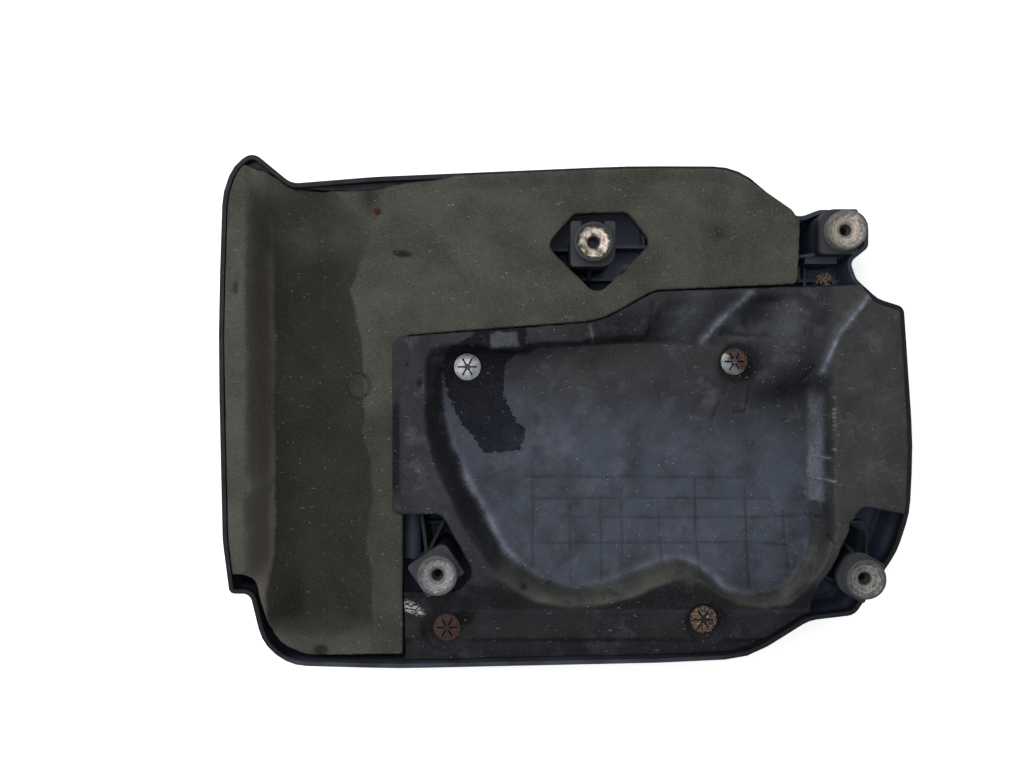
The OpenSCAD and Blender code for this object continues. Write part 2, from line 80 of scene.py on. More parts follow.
SEAM = [(LEFT + 112.6, BACK - 118), (22, BACK - 108), (57, BACK - 88.2), (RIGHT - 32.7, BACK - 84)]
SLIT = 0.6
LAP_X = SEAM[0][0] + 6.7
MAT_EDGE = [
    (LEFT - 20, FRONT + 60.4, 1), (LEFT + 21.2, FRONT + 60.4, 12), (LEFT + 36.2, FRONT + 6.8, 36),
    (LAP_X, FRONT + 8, 2), (LAP_X, SEAM[0][1] - 4, 3), (LAP_X + 4, SEAM[0][1] + SLIT + 0.5, 3),
    (SEAM[1][0], SEAM[1][1] + SLIT, 50), (SEAM[2][0], SEAM[2][1] + SLIT, 25),
    (TOWER_BR[0] - 26.7, SEAM[3][1] + SLIT, 4), (TOWER_BR[0] - 24.5, TOWER_BR[1] + 12, 6),
    (TOWER_BR[0] - 60, BACK + 60, 1), (0, BACK + 60, 1), (-46.8, 158.3, 1), (-69.5, 153.9, 20),
    (-87.7, 151.8, 20), (-105.9, 149.5, 20), (-120.9, 145.8, 12), (-137.8, 144.0, 20),
    (-160.5, 144.5, 20), (-176.1, 146.1, 12), (-184.6, 150.1, 12), (-195.0, 156.0, 30),
    (-206.7, 159.9, 6), (-213.8, 162.2, 2), (LEFT - 20, BACK + 6, 1)]
PAD_EDGE = [
    (SEAM[0][0], FRONT + 101, 3), (LAP_X + 0.6, FRONT + 100, 1), (LAP_X + 0.6, FRONT - 20, 1),
    (TOWER_FR[0] - 27.5, FRONT - 20, 1), (TOWER_FR[0] - 30, FRONT + 42, 4), (164.7, -111.6, 2),
    (170.9, -103.8, 3), (175.8, -94.7, 3), (180.3, -84.3, 2), (183.4, -76.9, 1), (184.0, -71.9, 0.8),
    (186.8, -70.0, 0.8), (187.5, -66.7, 1), (191.7, -62.5, 1), (195.3, -62.1, 1), (204.4, -63.8, 4),
    (218.7, -66.7, 3), (RIGHT + 20, TOWER_FR[1] + 39, 2), (RIGHT + 20, SEAM[3][1], 2),
    (SEAM[3][0], SEAM[3][1], 6), (SEAM[2][0], SEAM[2][1], 25), (SEAM[1][0], SEAM[1][1], 50),
    (SEAM[0][0], SEAM[0][1], 9)]
NOTCH = beside(TOWER_FL, [(-50, -14, 1), (12, -13, 8), (23, -1, 7), (2.5, 37.6, 9), (-50, 37.6, 1)])
PAD_NUTS = [  # place, height of the seat, and inner radius, outer radius and height of the sunk foam
    ((-65.4, 29.3), 40.3, None), ((112.0, 32.9), 40.3, (10.2, 14.5, 44.2)),
    ((-78.4, -141.9), 50.8, (10.5, 15.5, 55.0)), ((89.8, -136.5), 50.8, (10.0, 14.5, 55.0))]
MAT_STUDS = [(-123.7, 130.1), (98.5, 117.1), (-144.7, -112.5)]
CAMERA_AT = (-35.75, 17.9, 860.0)
# Focal length and width of the picture in pixels, and width of the camera's sensor
FOCAL_PX, PICTURE_W, SENSOR_W = 1230.77, 1024.0, 36.0

# From the sizes above to the frame: how far the frame puts the back left socket from its place
low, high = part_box("grommet_back_left")
SHIFT = np.array(((low[0] + high[0]) * 500 - TOWER_BL[0], (low[1] + high[1]) * 500 - TOWER_BL[1]))


# Flat shapes
def corner_arc(corners, i, d):
    """The arc that rounds corner i of an outline moved inward by d."""
    p = np.array(corners[i][:2], float)
    before = p - np.array(corners[i - 1][:2], float)
    after = np.array(corners[(i + 1) % len(corners)][:2], float) - p
    a, b = before / np.linalg.norm(before), after / np.linalg.norm(after)
    turn = math.atan2(a[0] * b[1] - a[1] * b[0], a @ b)
    side = -1 if turn < 0 else 1
    na, nb = np.array((-a[1], a[0])), np.array((-b[1], b[0]))
    q = p + d * (na + nb) / (1 + na @ nb)
    half = math.tan(abs(turn) / 2)
    room = 0.49 * min(np.linalg.norm(before), np.linalg.norm(after)) / half
    r = min(max(0.3, corners[i][2] - side * d), room)
    centre = q - a * r * half + na * side * r
    steps = max(2, math.ceil(abs(turn) / math.radians(12)))
    return [centre - side * r * np.array((
        na[0] * math.cos(w) - na[1] * math.sin(w), na[0] * math.sin(w) + na[1] * math.cos(w)))
        for w in (turn * k / steps for k in range(steps + 1))]


def outline(corners, d=0.0):
    """Rounded outline moved inward by d."""
    return np.array([p for i in range(len(corners)) for p in corner_arc(corners, i, d)])


def inset(loop, xy):
    """How far each point lies inside a closed loop; negative outside."""
    far = np.full(len(xy), 1e9)
    odd = np.zeros(len(xy), bool)
    for a, b in zip(loop, np.roll(loop, -1, 0)):
        s = b - a
        w = xy - a
        t = np.clip((w @ s) / max(s @ s, 1e-12), 0, 1)
        far = np.minimum(far, np.hypot(w[:, 0] - t * s[0], w[:, 1] - t * s[1]))
        if a[1] != b[1]:
            cross = (a[1] > xy[:, 1]) != (b[1] > xy[:, 1])
            odd ^= cross & (xy[:, 0] < a[0] + (xy[:, 1] - a[1]) * s[0] / s[1])
    return np.where(odd, far, -far)


def from_line(points, xy):
    """Distance of each point from an open line, and how far along it lies, from 0 to 1."""
    line = np.array(points, float)
    steps = np.linalg.norm(np.diff(line, axis=0), axis=1)
    run, total = 0.0, steps.sum()
    far, along = np.full(len(xy), 1e9), np.zeros(len(xy))
    for a, b, n in zip(line[:-1], line[1:], steps):
        s = b - a
        t = np.clip(((xy - a) @ s) / (n * n), 0, 1)
        d = np.hypot(xy[:, 0] - a[0] - t * s[0], xy[:, 1] - a[1] - t * s[1])
        near = d < far
        far, along = np.where(near, d, far), np.where(near, (run + t * n) / total, along)
        run += n
    return far, along


def stepped(points, step, closed=True):
    """The line again with a point about every step."""
    line = np.array(points, float)
    if closed:
        line = np.vstack([line, line[:1]])
    out = []
    for a, b in zip(line[:-1], line[1:]):
        n = max(1, round(np.linalg.norm(b - a) / step))
        out += [a + (b - a) * k / n for k in range(n)]
    return np.array(out if closed else out + [line[-1]])


def across(way):
    """Unit vectors to the left of each direction."""
    way = way / np.maximum(np.linalg.norm(way, axis=1), 1e-9)[:, None]
    return np.stack([-way[:, 1], way[:, 0]], 1)


def inward(loop):
    """Unit vectors that point into a counter-clockwise loop at its points."""
    return across(np.roll(loop, -1, 0) - np.roll(loop, 1, 0))


def wall_line(gap):
    """Line inside the rim, as far in as gap() says at each point."""
    p = stepped(outline(RIM), 1.2)
    return p + gap(p)[:, None] * inward(p)


def smooth(v):
    """0 before 0, 1 after 1, and an even S between."""
    v = np.clip(v, 0, 1)
    return v * v * (3 - 2 * v)


def ramp(v, a, b):
    """0 before a, 1 after b, smooth between."""
    return smooth((v - a) / (b - a))


def bump(xy, centre, r, stretch=1.0, turn=0.0):
    """Round hill of height 1 and radius about r, stretched along a direction."""
    u, v = xy[:, 0] - centre[0], xy[:, 1] - centre[1]
    c, s = math.cos(math.radians(turn)), math.sin(math.radians(turn))
    return np.exp(-(((u * c + v * s) / stretch) ** 2 + (v * c - u * s) ** 2) / (r * r))


def noise(xy, size, seed):
    """Smooth random value from -1 to 1 that changes over about size millimetres."""
    table = np.random.default_rng(seed).uniform(-1, 1, (64, 64))
    u, v = xy[:, 0] / size + 900.0, xy[:, 1] / size + 900.0
    i, j = np.floor(u).astype(int), np.floor(v).astype(int)
    s, t = smooth(u - i), smooth(v - j)
    g = lambda a, b: table[(i + a) % 64, (j + b) % 64]
    return (g(0, 0) * (1 - s) + g(1, 0) * s) * (1 - t) + (g(0, 1) * (1 - s) + g(1, 1) * s) * t


def rough(xy, size, seed):
    """Noise of three sizes together."""
    return (noise(xy, size, seed) + 0.5 * noise(xy, size / 2.1, seed + 1)
            + 0.25 * noise(xy, size / 4.3, seed + 2)) / 1.75


def ragged(loop, step, size, seed):
    """The loop with a point every step, wandering by up to size."""
    p = stepped(loop, step)
    return p - (size * (rough(p, 3.5, seed) - 0.5))[:, None] * inward(p)


def stirred(xy, reach, kind, size, seed):
    """The points pushed about by up to reach, so that an outline tested at them looks torn."""
    return xy + reach * np.stack([kind(xy, size, seed), kind(xy, size, seed + 1)], 1)


def sheet_depth(loops):
    """How far points lie inside the first two loops and outside the third."""
    return lambda xy: np.minimum(np.minimum(inset(loops[0], xy), inset(loops[1], xy)), -inset(loops[2], xy))


# Fine sheet meshes
def triangulate(loops, depth, spacing, lines, rings=(0.45, 1.1, 2.0)):
    """Points and triangles of the region where depth() is positive.

    The mesh follows the loops, a few rings just inside them and the feature lines, with a staggered
    grid between.
    """
    points, edges, fixed = [], [], 0
    for loop in loops:
        p = stepped(loop, spacing)
        edges += [(fixed + i, fixed + (i + 1) % len(p)) for i in range(len(p))]
        points.append(p)
        fixed += len(p)
    extra = []
    for loop in loops:
        p = stepped(loop, spacing)
        normal = inward(p)
        for d in rings:
            for s in (-d, d):
                q = p + s * normal
                extra.append(q[depth(q) > 0.88 * d])
    for line, sides in lines:
        p = stepped(line, spacing * 0.75, closed=False)
        normal = across(np.gradient(p, axis=0))
        for s in sides:
            q = p + s * normal
            extra.append(q[depth(q) > rings[-1] + 0.4])
    extra = np.vstack(extra)
    _, first = np.unique(np.round(extra / 0.35).astype(int), axis=0, return_index=True)
    extra = extra[np.sort(first)]
    low, high = points[0].min(0), points[0].max(0)
    xs = np.arange(low[0], high[0], spacing)
    ys = np.arange(low[1], high[1], spacing * 0.866)
    gx, gy = np.meshgrid(xs, ys)
    gx[1::2] += spacing / 2
    grid = np.stack([gx.ravel(), gy.ravel()], 1)
    grid += np.random.default_rng(5).uniform(-0.1, 0.1, grid.shape) * spacing
    grid = grid[depth(grid) > rings[-1] + 0.45 * spacing]
    near = kdtree.KDTree(len(extra))
    for i, p in enumerate(extra):
        near.insert((p[0], p[1], 0), i)
    near.balance()
    grid = np.array([p for p in grid if near.find((p[0], p[1], 0))[2] > 0.55 * spacing])
    points = np.vstack(points + [extra, grid])
    verts, _, faces, *_ = geometry.delaunay_2d_cdt(
        [Vector(p) for p in points], edges, [], 0, 1e-4, False)
    xy = np.array([v[:] for v in verts])
    tri = np.array([f for f in faces if len(f) == 3])
    tri = tri[depth(xy[tri].mean(1)) > 0]
    p, q, r = xy[tri[:, 0]], xy[tri[:, 1]], xy[tri[:, 2]]
    area = (q[:, 0] - p[:, 0]) * (r[:, 1] - p[:, 1]) - (q[:, 1] - p[:, 1]) * (r[:, 0] - p[:, 0])
    tri = tri[np.abs(area) > 1e-6]
    area = area[np.abs(area) > 1e-6]
    tri[area < 0] = tri[area < 0][:, ::-1]
    used, tri = np.unique(tri, return_inverse=True)
    return xy[used], tri.reshape(-1, 3)


def sheet_mesh(name, xy, tri, top, under, masks):
    """Closed object between the heights top and under, with float masks at its points."""
    n = len(xy)
    a = np.concatenate([tri[:, [0, 1]], tri[:, [1, 2]], tri[:, [2, 0]]])
    key = np.sort(a, 1) @ (n, 1)
    _, index, count = np.unique(key, return_index=True, return_counts=True)
    rim = a[index[count == 1]]
    walls = np.concatenate([
        np.stack([rim[:, 1], rim[:, 0], rim[:, 0] + n], 1),
        np.stack([rim[:, 1], rim[:, 0] + n, rim[:, 1] + n], 1)])
    faces = np.concatenate([tri, tri[:, ::-1] + n, walls])
    place = np.zeros((2 * n, 3))
    place[:n, :2] = place[n:, :2] = xy + SHIFT
    place[:n, 2], place[n:, 2] = top, under
    mesh = bpy.data.meshes.new(name)
    mesh.vertices.add(2 * n)
    mesh.vertices.foreach_set("co", (place * 0.001).ravel())
    mesh.loops.add(3 * len(faces))
    mesh.loops.foreach_set("vertex_index", faces.ravel().astype(np.int32))
    mesh.polygons.add(len(faces))
    mesh.polygons.foreach_set("loop_start", np.arange(0, 3 * len(faces), 3, dtype=np.int32))
    mesh.polygons.foreach_set("use_smooth", np.ones(len(faces), bool))
    mesh.update()
    mesh.validate()
    for label, values in masks.items():
        layer = mesh.attributes.new(label, "FLOAT", "POINT")
        layer.data.foreach_set("value", np.clip(np.concatenate([values, values]), 0, 1))
    obj = bpy.data.objects.new(name, mesh)
    bpy.context.scene.collection.objects.link(obj)
    return obj


def rounded(depth, r):
    """How much a cut edge of radius r drops at that depth inside the outline."""
    k = np.clip(1 - depth / r, 0, 1)
    return r * (1 - np.sqrt(1 - k * k))


# Foam mat: heights and marks
VALLEY_X = [
    (-151.6, 144.9), (-131.2, 126.5), (-126.6, 117.3), (-133.8, 98.2), (-141.7, 79.1), (-138.4, 67.3),
    (-133.8, 46.9), (-131.8, 13.3), (-131.2, -5.8), (-133.2, -13.0), (-127.2, -32.8), (-125.9, -55.8),
    (-131.2, -84.8), (-126.6, -102.5), (-126.6, -142.7)]
WALL_DENT_Y = -50.4
MAT_RING, RING_R = (-136.2, 16.6), 8.0
FLAP = [(-150.2, 152.6), (-143.7, 153.9), (-133.9, 147.4), (-128.0, 135.0), (-124.7, 123.9), (-148.2, 133.7)]
MAT_SLIT = [(-112.7, 103.7), (-106.9, 103.6), (-101.0, 102.7)]
MAT_DENTS = [  # place, radius, depth, stretch, direction
    ((-127.3, 133.0), 8.5, 2.6, 1.3, 40), ((-106.9, 102.7), 1.9, 2.0, 3.0, -4),
    ((-215.4, 80.4), 1.7, 2.0, 2.4, 85), ((-158.1, -3.3), 2.6, 1.8, 1.2, 0),
    ((-140.8, -3.8), 1.6, 1.2, 1.2, 0), ((-160.5, -155.9), 3.2, 1.5, 1.4, 0),
    ((-178.5, -157.6), 2.2, 1.0, 1.4, 0), ((-151.6, -116.4), 7.0, 1.4, 1.2, 0),
    ((36.0, 92.3), 2.2, 1.6, 1.5, 40)]


def over_rim(xy):
    """1 along the back edge, where the foam laps over the rim."""
    x, y = xy.T
    return ramp(x, -92, -70) * (1 - ramp(x, 146, 153)) * ramp(y, 100, 118)


def mat_top(xy):
    """Height of the mat over each point, without the rounding of its cut edges."""
    y = xy[:, 1]
    a, b = LEFT + STRIP_W, LEFT + STRIP_W + TROUGH_W
    wavy = 1.0 * noise(xy * (0, 1), 31, 11) + 0.5 * noise(xy * (0, 1), 9, 12)
    wavy += 2.6 * bump(xy * (0, 1), (0, WALL_DENT_Y), 6)
    x = xy[:, 0] - wavy * (1 - ramp(xy[:, 0], a + 14, a + 30))
    line = np.array(VALLEY_X)[::-1]
    end = np.interp(y, line[:, 1], line[:, 0])
    rise = np.clip((x - b) / (end - b), 0, 1)
    rise = 0.45 * rise + 0.55 * smooth(rise)
    trough = (ramp(x, a, a + 12) * (1 - rise) * ramp(y, FRONT + 18, FRONT + 32)
              * (1 - ramp(y, BACK - 52, BACK - 6))
              * (1 - (1 - ramp(x, a + 10, a + 36)) * (1 - ramp(y, FRONT + 46, FRONT + 74))))
    z = MAT_Z + STRIP_UP * (1 - ramp(x, a - 2, a + 4)) - TROUGH_H * trough
    z += 0.5 * noise(xy, 48, 21) + 0.22 * noise(xy, 17, 22) + 0.06 * noise(xy, 4.2, 23)
    for place, r, depth, stretch, turn in MAT_DENTS:
        z -= depth * bump(xy, place, r, stretch, turn)
    ring = np.hypot(*(xy - MAT_RING).T)
    z -= 0.8 * np.exp(-((ring - RING_R) / 1.0) ** 2)
    near = inset(outline(RIM), xy)
    return z + (60.6 - z) * over_rim(xy) * (1 - ramp(near, 2.4, 12))


def mat_masks(xy):
    """Stains and scuffs of the mat, with its painted shade and painted light, each from 0 to 1."""
    x, y = xy.T
    a = LEFT + STRIP_W
    line = np.array(VALLEY_X)[::-1]
    end = np.interp(y, line[:, 1], line[:, 0]) + 1.2 * rough(xy, 14, 31)
    edge = a + 12 + 1.4 * noise(xy * (0, 1), 24, 33) + 0.5 * noise(xy, 4, 34)
    valley = ramp(x, edge - 2.5, edge + 2.0) * (1 - ramp(x, end - 1.2, end + 1.0))
    valley *= ramp(y, FRONT + 12 + 5 * noise(xy, 30, 32), FRONT + 34) * (1 - ramp(x + 0.55 * y, 45, 62))
    # painted light on the steep wall of the trough
    wall = ramp(x, a, a + 2) * (1 - ramp(x, edge, edge + 3)) * ramp(y, FRONT + 20, FRONT + 40)
    brown = wall * (1 - ramp(y, 84, 104)) * (1 - 0.8 * bump(xy * (0, 1), (0, WALL_DENT_Y), 8))
    flap = ramp(inset(np.array(FLAP), xy), -1.2, 1.2)
    valley *= 1 - 0.7 * flap
    # painted shade in the dents by the nuts and in the other dents
    shade = 0.8 * bump(xy, MAT_STUDS[1], 6.5)
    shade = np.maximum(shade, 0.75 * bump(xy, (-128.6, 139.6), 5.5, 2.0, 80))
    for place, r, depth, stretch, turn in MAT_DENTS[1:]:
        dark = ramp(bump(xy, place, r * 1.1, stretch, turn), 0.15, 0.6)
        shade = np.maximum(shade, min(1, 0.6 * depth) * dark)
    # painted shade in the trough
    shade = np.maximum(shade, 0.8 * valley * (1 - 0.6 * ramp(y + 0.25 * x, 52, 76)))
    # painted shade in the ring groove
    ring = np.hypot(*(xy - MAT_RING).T)
    groove_shade = (0.6 + 0.5 * (x < -130)) * np.exp(-((ring - RING_R) / 1.1) ** 2)
    shade = np.maximum(shade * (1 - 0.25 * (ring < 7)), groove_shade)
    # darker foam right of the trough toward the front
    shade = np.maximum(shade, 0.3 * ramp(-y, -15, 15) * (x > end - 1))
    # painted shade in the slit
    slit, _ = from_line(MAT_SLIT, xy)
    shade = np.maximum(shade, 1 - ramp(slit, 0.5, 1.5))
    rust = 0.9 * bump(xy, MAT_STUDS[0], 4.6) + 0.35 * bump(xy, (57.5, 157.5), 16, 1.5, 30)
    rust += 0.5 * bump(xy, MAT_STUDS[2], 5) + 0.6 * bump(xy, (-156.0, -4.6), 4)
    dust = ramp(rough(xy, 20, 41), 0.05, 0.6) * (0.5 * bump(xy, (5.4, 72.7), 26, 1.6, 0)
                                               + 0.45 * bump(xy, (98.7, 97.5), 24, 1.5, 0))
    dust += 0.55 * ramp(noise(xy, 9, 42), 0.1, 0.7) * bump(xy, (-210.8, 97.3), 9, 2.6, 90)
    dust += 0.3 * (x < a) * (1 - ramp(y, 90, 150))
    # the painted light on the wall grows toward the front
    wall *= 0.15 + 1.35 * (1 - ramp(y, -85, 10))
    return {"shade": shade, "rust": rust, "wall": wall, "warm": brown, "dust": dust}


# Moulded pad: heights and marks
BRINK = [
    (-92.9, 27.0), (-92.3, 36.7), (-87.7, 41.9), (-79.3, 43.9), (-60.4, 44.5), (-48.7, 41.9),
    (-29.3, 40.0), (-25.4, 44.5), (8.4, 45.2), (17.5, 48.4), (50.0, 50.4), (57.2, 64.7), (65.6, 73.1),
    (112.4, 77.0), (151.4, 75.7), (181.3, 70.5), (181.3, 53.0), (176.1, 30.2), (174.8, 7.5),
    (174.2, -57.5), (175.5, -77.0), (168.3, -96.5), (154.7, -116.0), (145.4, -125.5), (129.1, -128.1),
    (112.2, -126.1), (98.5, -118.9), (88.1, -110.5), (71.1, -108.5), (57.4, -113.7), (45.1, -120.9),
    (23.5, -126.8), (1.4, -128.7), (-20.1, -124.8), (-34.4, -116.3), (-45.5, -107.7), (-53.9, -97.1),
    (-60.4, -87.4), (-67.6, -76.3), (-72.8, -65.3), (-76.7, -54.9), (-83.2, -43.2), (-87.1, -33.4),
    (-91.0, -18.5), (-92.9, 0.4)]
FOOT = [
    (-81.6, 25.9), (-79.6, 32.5), (-73.0, 37.2), (-53.0, 39.2), (-43.7, 37.2), (-26.4, 37.2),
    (-17.1, 42.5), (22.7, 43.8), (52.6, 45.1), (89.2, 43.8), (103.8, 42.5), (119.1, 32.5), (123.8, 17.2),
    (139.0, 8.6), (153.0, 10.6), (160.3, 14.6), (161.0, -6.0), (160.3, -59.2), (162.3, -79.1),
    (159.0, -96.4), (148.8, -113.5), (134.2, -120.2), (116.9, -121.5), (103.7, -116.9), (93.0, -106.9),
    (85.1, -100.9), (73.1, -97.6), (59.2, -100.3), (41.9, -107.6), (24.7, -114.2), (4.1, -117.5),
    (-16.5, -110.2), (-32.4, -99.7), (-41.1, -91.8), (-46.4, -81.8), (-53.0, -68.5), (-58.3, -59.2),
    (-66.3, -44.6), (-69.6, -33.9), (-75.0, -23.3), (-79.6, -6.0), (-81.6, 7.3)]
STAIN = [
    (-80.3, 39.2), (-59.4, 49.5), (-59.1, 53.0), (-26.0, 54.9), (-26.7, 49.1), (-30.4, 39.8),
    (-40.4, 30.5), (-42.4, 11.9), (-35.8, -3.4), (-27.1, -10.0), (-29.8, -26.7), (-55.0, -26.7),
    (-61.0, -16.7), (-73.0, -4.1), (-77.0, 6.6), (-83.6, 27.9)]
BLOCK = [(-49.5, 40.8), (-50.1, 49.8), (-45.5, 51.7), (-32.5, 52.4), (-31.2, 42.1)]
GRID = [
    [(-21.8, -34.0), (-21.8, -72.6), (-21.8, -112.4)], [(2.8, -62.6), (3.5, -111.0)],
    [(23.5, -56.6), (24.3, -123.3)], [(37.4, -51.3), (38.0, -103.7)],
    [(62.1, -67.3), (63.4, -93.9), (64.5, -102.9)], [(86.0, -45.3), (86.7, -79.3), (88.9, -106.7)],
    [(119.3, -50.0), (120.6, -89.2), (122.5, -118.5)], [(144.6, -66.6), (145.9, -89.2), (149.0, -105.7)],
    [(-21.8, -44.0), (49.4, -44.0), (119.3, -44.7)], [(-20.4, -58.6), (62.7, -58.0), (135.9, -58.6)],
    [(2.8, -70.6), (64.1, -71.3), (119.3, -70.6), (155.9, -69.9)],
    [(-20.4, -87.9), (62.7, -87.9), (119.3, -87.2), (149.2, -89.2)]]
CREASES = [  # line, height, half width, and how strongly it is scuffed and painted with a highlight
    ([(90.6, 46.3), (98.2, 56.0), (108.4, 66.2), (118.9, 76.4)], 3.0, 3.2, 0.9),
    ([(196.4, 76.3), (185.6, 62.0), (176.4, 50.4), (171.1, 38.8), (166.6, 25.8)], 3.0, 2.6, 0.9),
    ([(14.8, 56.2), (16.9, 45.8)], 0.9, 0.9, 0.5), ([(162.7, -1.3), (172.2, -3.0)], 0.7, 0.8, 0.3),
    ([(163.6, -29.1), (171.4, -30.6)], 0.9, 0.8, 0.9), ([(162.9, -43.7), (171.4, -45.0)], 0.9, 0.8, 0.9),
    ([(162.9, -57.6), (169.1, -58.3)], 0.7, 0.8, 0.7)]
CUTS = [  # line, depth, half width
    ([(103.1, 50.8), (131.4, 49.6)], 1.6, 1.1),
    ([(161.9, 29.1), (159.8, 24.5), (155.4, 19.9)], 1.4, 0.7),
    ([(122.0, 15.2), (120.6, 7.3), (118.6, -0.7)], 0.8, 0.5), ([(118.6, -0.7), (111.3, -0.7)], 0.6, 0.5),
    ([(55.9, 70.5), (54.5, 61.1), (52.2, 49.6)], 0.8, 0.9), ([(102.7, 8.6), (97.3, -6.1)], 0.4, 0.5),
    ([(160.5, -69.0), (168.3, -70.9)], 0.9, 0.7), ([(170.8, -80.5), (173.2, -85.6)], 1.2, 0.8),
    ([(-108.1, -113.1), (-89.2, -115.0), (-72.9, -111.1)], 0.9, 0.8),
    ([(68.6, -117.2), (68.8, -129.1), (83.8, -129.1)], 0.5, 0.6)]
PAD_DIP = (125.5, 64.6)
LAP_EDGE_X = -111.0
NUT_DIRT_AND_SHADE = [  # place, radius, stretch and direction of the dark pools round the push nuts: wet dirt, with painted shade in their sunk pockets
    ((116.7, 31.2), 11.5, 1.1, -50), ((-80.9, -142.3), 10, 1.5, 10),
    ((94.4, -137.1), 8.5, 1.6, 15), ((-67.8, -135.2), 7, 1.2, 0)]
HOLES = [  # place, radius, stretch, direction
    ((-95.5, 18.5), 1.1, 2.0, 85), ((-103.3, 30.2), 0.8, 1, 0), ((-24.0, 42.7), 1.3, 1, 0),
    ((-27.9, -114.5), 1.9, 1.2, 0), ((85.1, -113.4), 1.3, 1.6, -15), ((-94.8, 25.7), 0.7, 1, 0),
    ((-11.0, -114.5), 1.0, 1.4, 0)]


def pad_top(xy):
    """Height of the pad over each point, without the rounding of its cut edges."""
    x, y = xy.T
    flange = FLANGE_Z - 6.6 * (1 - ramp(y, FRONT + 35.5, FRONT + 54))
    flange -= 1.2 * (1 - ramp(y, FRONT + 33.5, FRONT + 35.5))
    flange -= 3.0 * (1 - ramp(y, FRONT + 15.5, FRONT + 18))
    flange += 0.35 * noise(xy, 40, 51) + 0.1 * noise(xy, 9, 52)
    floor = FLOOR_Z + 0.5 * noise(xy, 60, 53) + 0.12 * noise(xy, 15, 54)
    into, out = inset(np.array(BRINK), xy), -inset(np.array(FOOT), xy)
    t = np.where(into <= 0, 0, np.where(out <= 0, 1, into / np.maximum(into + out, 1e-6)))
    plain = smooth(t)
    facets = np.where(t < 0.5, 0.74 * smooth(t / 0.5), 0.74 + 0.26 * (t - 0.5) / 0.5)
    right = ramp(x, 138, 150) * (1 - ramp(y, 0, 20))
    wall = plain + (facets - plain) * right
    slope = ramp(y, 40, 50) * ramp(x, 50, 56) * (1 - ramp(x, 168, 178))
    wall += (t - wall) * slope * 0.7
    z = flange + (floor - flange) * wall
    z -= 7.5 * bump(xy, PAD_DIP, 13, 1.5, 60) * ramp(into, 0, 6)
    z += 8.5 * bump(xy, (149.2, 50.1), 17, 1.5, 75) * ramp(into, 0, 10) * ramp(out, -12, 0)
    z += 2.4 * bump(xy, (123.4, 17.2), 20, 1.2, 0) * (t > 0)
    for line, height, width, _ in CREASES:
        far, along = from_line(line, xy)
        z += height * np.exp(-(far / width) ** 2) * (1 - 0.5 * along)
    for line, depth, width in CUTS:
        far, _ = from_line(line, xy)
        z -= depth * np.exp(-(far / width) ** 2)
    for k, line in enumerate(GRID):
        far, along = from_line(line, xy)
        z -= (0.5 if k in (5, 6) else 0.33) * np.exp(-(far / 0.6) ** 2) * (1 - 0.4 * np.abs(along - 0.5))
    for place, r, stretch, turn in HOLES:
        z -= 2.2 * bump(xy, place, r, stretch, turn)
    block = inset(np.array(BLOCK), xy)
    z += 0.9 * ramp(block, -0.4, 0.6) * ramp(out, -1, 1)
    z += 0.25 * ramp(inset(np.array(STAIN), stirred(xy, 0.8, noise, 5, 61)), -0.5, 0.8)
    return z


